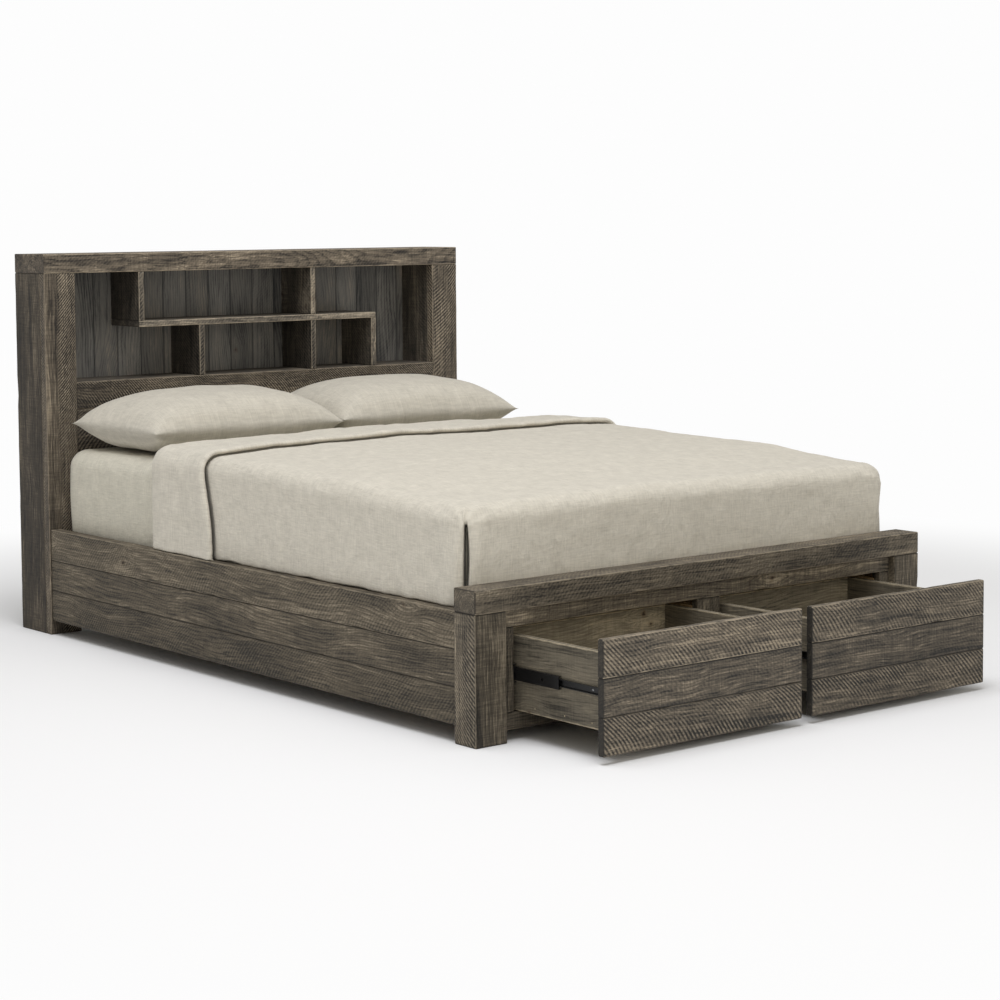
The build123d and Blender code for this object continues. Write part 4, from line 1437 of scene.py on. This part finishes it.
# ---- what each operator makes
SIDES = ("left", "right")
DIVIDERS = [f"cubby_divider_{word}" for word in ("left_hanging", "left_standing", "middle", "right")]
TONES = {  # how much lighter or darker than its finish each board of a node is, in turn
    "headboard_cap": (1.75,),
    "headboard_stile_left": (1.1,),
    "headboard_stile_right": (1.2,),
    "headboard_side_left": (0.62,),
    "headboard_rail": (1.25,),
    "headboard_back_planks": (1.85, 1.4, 1.6, 1.35),
    "headboard_inner_walls": (0.7,),
    **{divider: (0.62,) for divider in DIVIDERS},
    "foot_cap": (1.62,),
    "frame_top_rail": (1.8,),
    "foot_post_left": (0.87,),
    **{f"side_rail_{word}": (1.06, 1.16, 1.1) for word in SIDES},
    "drawer_left_front": (1.26,),
    "drawer_right_front": (1.05,),
    **{f"drawer_{word}_sides": (1.05,) for word in SIDES},
    **{f"drawer_{word}_{part}": (1.75,) for word in SIDES for part in ("back", "box_front", "base")},
}
EDGE_WEAR_AND_HIGHLIGHT = {  # how bright the edges of a node's boards are, from the lowest board up: wear, and on the top board a painted highlight along its arrises
    **{f"drawer_{word}_front": (0.15, 0.0, 0.55) for word in SIDES},
    **{f"side_rail_{word}": (0.2, 0.0, 0.8) for word in SIDES},
}
RIM_TONES = {  # how much lighter the narrow faces of a node's boards are than its broad ones
    **{divider: 2.0 for divider in DIVIDERS},
    "cubby_shelf": 1.5,
    "foot_post_left": 1.65,
    "foot_post_right": 1.4,
}
SAW_SIDES = {  # 1 or -1: marks on one side of the board only; 2: on its edges only
    "headboard_stile_left": 1.0,
    "headboard_stile_right": 0.6,
    "foot_post_left": 2.0,
    "foot_post_right": 2.0,
}
SAW_PITCHES = {"headboard_stile_left": 0.0104, "headboard_rail": 0.0100, "foot_post_left": 0.0118}
JOINT_ARRISES = {"headboard_back_planks": 0.0026, "headboard_panel_boards": 0.0030}
BOARDS = {  # part, finish and node: the strengths of the saw marks of its boards, in turn
    "headboard": {
        "headboard_wood": {
            "headboard_cap": (0.10,),
            "headboard_stile_left": (1.35,),
            "headboard_stile_right": (1.15,),
            "headboard_side_left": (0.0,),
            "headboard_side_right": (0.0,),
            "headboard_rail": (-0.95,),
            "headboard_panel_boards": (0.15, 0.75),
        },
        "charcoal_planks": {"headboard_back_planks": (0.0, 0.08, 0.0)},
        "cubby_boards": {
            "cubby_floor": (0.0,),
            "cubby_shelf": (0.2,),
            **{divider: (0.35,) for divider in DIVIDERS},
            "headboard_inner_walls": (0.3,),
        },
    },
    "rails": {"rail_boards": {"side_rail_left": (-0.3, -0.1, -0.35), "side_rail_right": (0.0, 0.15, 0.0)}},
    "footboard": {
        "footboard_wood": {
            "foot_cap": (0.20,),
            "foot_post_left": (0.8,),
            "foot_post_right": (-0.3,),
            "frame_top_rail": (0.1,),
            "frame_bottom_rail": (0.0,),
            **{f"frame_stile_{word}": (0.2,) for word in ("left", "middle", "right")},
        },
    },
    "drawers": {
        "sawn_drawer_front": {
            "drawer_left_front": (-0.85, -0.12, -1.0),
            "drawer_right_front": (-1.0, -0.10, -0.9),
        },
    },
    "base": {"base_pine": {"slats": (0.0,)}},
}
JOINED = {  # part and finish: nodes that keep their grooves and holes
    "drawers": {
        "drawer_box_wood": [
            f"drawer_{word}_{part}" for word in SIDES for part in ("sides", "box_front", "back", "base")
        ],
    },
    "base": {"base_pine": ["slat_ledgers", "centre_beam", "centre_legs", "bay_panels", "bay_back_rail"]},
}
METAL = {  # finish: nodes that keep their own shape
    "black_slide_steel": [
        "slide_cabinet_members",
        *(f"slide_middle_members_{word}" for word in SIDES),
        *(f"slide_{row}_balls_{word}" for row in ("outer", "inner") for word in SIDES),
        *(f"drawer_{word}_runners" for word in SIDES),
    ],
    "bracket_steel": ["rail_brackets"],
    "bolt_steel": ["rail_bolts"],
    "glide_plastic": ["leg_glides"],
}


def make_timber(part):
    """Makes the boards of one part of the bed."""
    for slot, nodes in BOARDS[part].items():
        for node, saws in nodes.items():
            timber(node, slot, saws)
    for slot, nodes in JOINED.get(part, {}).items():
        for node in nodes:
            joinery(node, slot)


def paint(node, slot):
    """Gives a node that keeps its own shape its finish."""
    shown = frame["nodes"][node]
    if not shown.material_slots:
        shown.data.materials.append(None)
    for holder in shown.material_slots:
        holder.material = finish_of(slot)


# ---- studio
CAMERA_PLACE = Vector((-4.4271, -5.5189, 1.3132))
CAMERA_TURN, CAMERA_DIP, CAMERA_ROLL = (math.radians(angle) for angle in (39.2324, 4.4674, -0.3899))
SKY_TINT, KEY_TINT, FILL_TINT = (1.0, 0.98, 0.94), (0.99, 1.0, 1.04), (1.0, 0.945, 0.82)
FLOOR_REACH = 40.0
FLOOR_FADE = (1.9, 3.6)  # where the floor goes over into the backdrop, from the middle of the bed


def make_camera():
    """A long lens that looks at the bed from beyond its left foot corner."""
    lens = bpy.data.cameras.new("studio_camera")
    lens.lens, lens.sensor_width, lens.shift_y = 86.079, 36.0, -0.10
    lens.clip_end = 200
    holder = new_object("studio_camera", lens)
    level = math.cos(CAMERA_DIP)
    ahead = Vector((math.sin(CAMERA_TURN) * level, math.cos(CAMERA_TURN) * level, -math.sin(CAMERA_DIP)))
    right = Vector((math.cos(CAMERA_TURN), -math.sin(CAMERA_TURN), 0))
    up = right.cross(ahead)
    leaned_right = right * math.cos(CAMERA_ROLL) + up * math.sin(CAMERA_ROLL)
    leaned_up = -right * math.sin(CAMERA_ROLL) + up * math.cos(CAMERA_ROLL)
    turned = Matrix((leaned_right, leaned_up, -ahead)).transposed().to_4x4()
    turned.translation = CAMERA_PLACE
    holder.matrix_world = turned
    bpy.context.scene.camera = holder


def area_light(name, place, target, size, power, tint):
    """A soft lamp that faces its target."""
    light = bpy.data.lights.new(name, "AREA")
    light.shape, light.size, light.size_y, light.energy, light.color = "RECTANGLE", *size, power, tint
    holder = new_object(name, light)
    holder.location = place
    holder.rotation_euler = (Vector(target) - Vector(place)).to_track_quat("-Z", "Y").to_euler()


def make_stage():
    """The floor, the backdrop, two lights and the camera."""
    stage = settings().stage
    mesh = bpy.data.meshes.new("studio_floor")
    edges = [(x * FLOOR_REACH, y * FLOOR_REACH, 0) for x, y in ((-1, -1), (1, -1), (1, 1), (-1, 1))]
    mesh.from_pydata(edges, [], [(0, 1, 2, 3)])
    material, tree, shader = new_material("studio_floor")
    shader.inputs["Base Color"].default_value = rgba(stage.floor)
    shader.inputs["Roughness"].default_value = 0.9
    shader.inputs["Specular IOR Level"].default_value = 0.0
    away = tree.vector("LENGTH", tree.place(), None)
    bright = tree.add("ShaderNodeEmission", {"Color": (1, 1, 1, 1), "Strength": stage.backdrop}).outputs[0]
    fade = tree.step(away, *FLOOR_FADE)
    both = tree.add("ShaderNodeMixShader", {0: fade, 1: shader.outputs[0], 2: bright}).outputs[0]
    output = next(node for node in tree.tree.nodes if node.type == "OUTPUT_MATERIAL")
    tree.put(output.inputs[0], both)
    floor = new_object("studio_floor", mesh, material)
    world = bpy.data.worlds.new("studio")
    bpy.context.scene.world = world
    world.use_nodes = True
    tree = Tree(world.node_tree)
    tree.tree.nodes.clear()
    seen = tree.add("ShaderNodeLightPath").outputs["Is Camera Ray"]
    lit = tree.add("ShaderNodeBackground", {"Color": (*SKY_TINT, 1), "Strength": stage.sky}).outputs[0]
    shown = tree.add("ShaderNodeBackground", {"Color": (1, 1, 1, 1), "Strength": stage.backdrop}).outputs[0]
    both = tree.add("ShaderNodeMixShader", {0: seen, 1: lit, 2: shown}).outputs[0]
    output = tree.add("ShaderNodeOutputWorld")
    tree.tree.links.new(both, output.inputs[0])
    area_light("key", (-1.6, -1.4, 6.8), (0, -0.2, 0.3), (4.5, 4.5), stage.key, KEY_TINT)
    area_light("fill", (-1.6, -7.0, 2.6), (0, 0, 0.5), (5.0, 3.0), stage.fill, FILL_TINT)
    scene = bpy.context.scene
    scene.view_settings.view_transform = "Standard"
    scene.view_settings.look = "None"
    make_camera()


# ---- operators and panel
class STORAGEBED_OT_headboard(bpy.types.Operator):
    """Make the bookcase headboard's boards."""

    bl_idname = "storage_bed.headboard"
    bl_label = "Headboard"

    def execute(self, context):
        make_timber("headboard")
        return {"FINISHED"}


class STORAGEBED_OT_rails(bpy.types.Operator):
    """Make the boards of both side rails."""

    bl_idname = "storage_bed.rails"
    bl_label = "Side rails"

    def execute(self, context):
        make_timber("rails")
        return {"FINISHED"}


class STORAGEBED_OT_footboard(bpy.types.Operator):
    """Make the footboard's cap, posts and face frame."""

    bl_idname = "storage_bed.footboard"
    bl_label = "Footboard"

    def execute(self, context):
        make_timber("footboard")
        return {"FINISHED"}


class STORAGEBED_OT_drawers(bpy.types.Operator):
    """Make both drawers' fronts and boxes."""

    bl_idname = "storage_bed.drawers"
    bl_label = "Drawers"

    def execute(self, context):
        make_timber("drawers")
        make_fillers()
        return {"FINISHED"}


class STORAGEBED_OT_base(bpy.types.Operator):
    """Make the slats and the wood under them."""

    bl_idname = "storage_bed.base"
    bl_label = "Bed base"

    def execute(self, context):
        make_timber("base")
        return {"FINISHED"}


class STORAGEBED_OT_hardware(bpy.types.Operator):
    """Finish the slides, brackets and glides, and set the slides' screws."""

    bl_idname = "storage_bed.hardware"
    bl_label = "Slides and screws"

    def execute(self, context):
        for slot, nodes in METAL.items():
            for node in nodes:
                paint(node, slot)
        make_screws()
        return {"FINISHED"}


class STORAGEBED_OT_mattress(bpy.types.Operator):
    """Make the mattress in its fitted sheet."""

    bl_idname = "storage_bed.mattress"
    bl_label = "Mattress"

    def execute(self, context):
        make_mattress()
        return {"FINISHED"}


class STORAGEBED_OT_duvet(bpy.types.Operator):
    """Make the duvet, with its top end folded back."""

    bl_idname = "storage_bed.duvet"
    bl_label = "Duvet"

    def execute(self, context):
        make_duvet()
        return {"FINISHED"}


class STORAGEBED_OT_pillows(bpy.types.Operator):
    """Make both pillows."""

    bl_idname = "storage_bed.pillows"
    bl_label = "Pillows"

    def execute(self, context):
        for node in PILLOW_PLACES:
            make_pillow(node)
        return {"FINISHED"}


class STORAGEBED_OT_stage(bpy.types.Operator):
    """Make the floor, the lights and the camera."""

    bl_idname = "storage_bed.stage"
    bl_label = "Studio"

    def execute(self, context):
        make_stage()
        return {"FINISHED"}


OPERATORS = (
    STORAGEBED_OT_stage,
    STORAGEBED_OT_headboard,
    STORAGEBED_OT_rails,
    STORAGEBED_OT_footboard,
    STORAGEBED_OT_drawers,
    STORAGEBED_OT_base,
    STORAGEBED_OT_hardware,
    STORAGEBED_OT_mattress,
    STORAGEBED_OT_duvet,
    STORAGEBED_OT_pillows,
)


class STORAGEBED_PT_panel(bpy.types.Panel):
    """Lists the parts of the bed that can be made."""

    bl_idname = "STORAGEBED_PT_panel"
    bl_label = "Storage Bed"
    bl_space_type = "VIEW_3D"
    bl_region_type = "UI"
    bl_category = "Storage Bed"

    def draw(self, context):
        for operator in OPERATORS:
            self.layout.operator(operator.bl_idname)


CLASSES = (
    *FINISHES.values(),
    STORAGEBED_PG_boards,
    STORAGEBED_PG_bedding,
    STORAGEBED_PG_hardware,
    STORAGEBED_PG_stage,
    STORAGEBED_PG_settings,
    *OPERATORS,
    STORAGEBED_PT_panel,
)


def register():
    """Makes the classes known, and hangs the settings on the scene."""
    for made in CLASSES:
        bpy.utils.register_class(made)
    bpy.types.Scene.storage_bed = PointerProperty(type=STORAGEBED_PG_settings)


def unregister():
    """Takes back what register did."""
    del bpy.types.Scene.storage_bed
    for made in reversed(CLASSES):
        bpy.utils.unregister_class(made)


def main():
    """Makes the whole bed and its studio."""
    register()
    for operator in OPERATORS:
        family, name = operator.bl_idname.split(".")
        getattr(getattr(bpy.ops, family), name)()


if __name__ == "__main__":
    main()
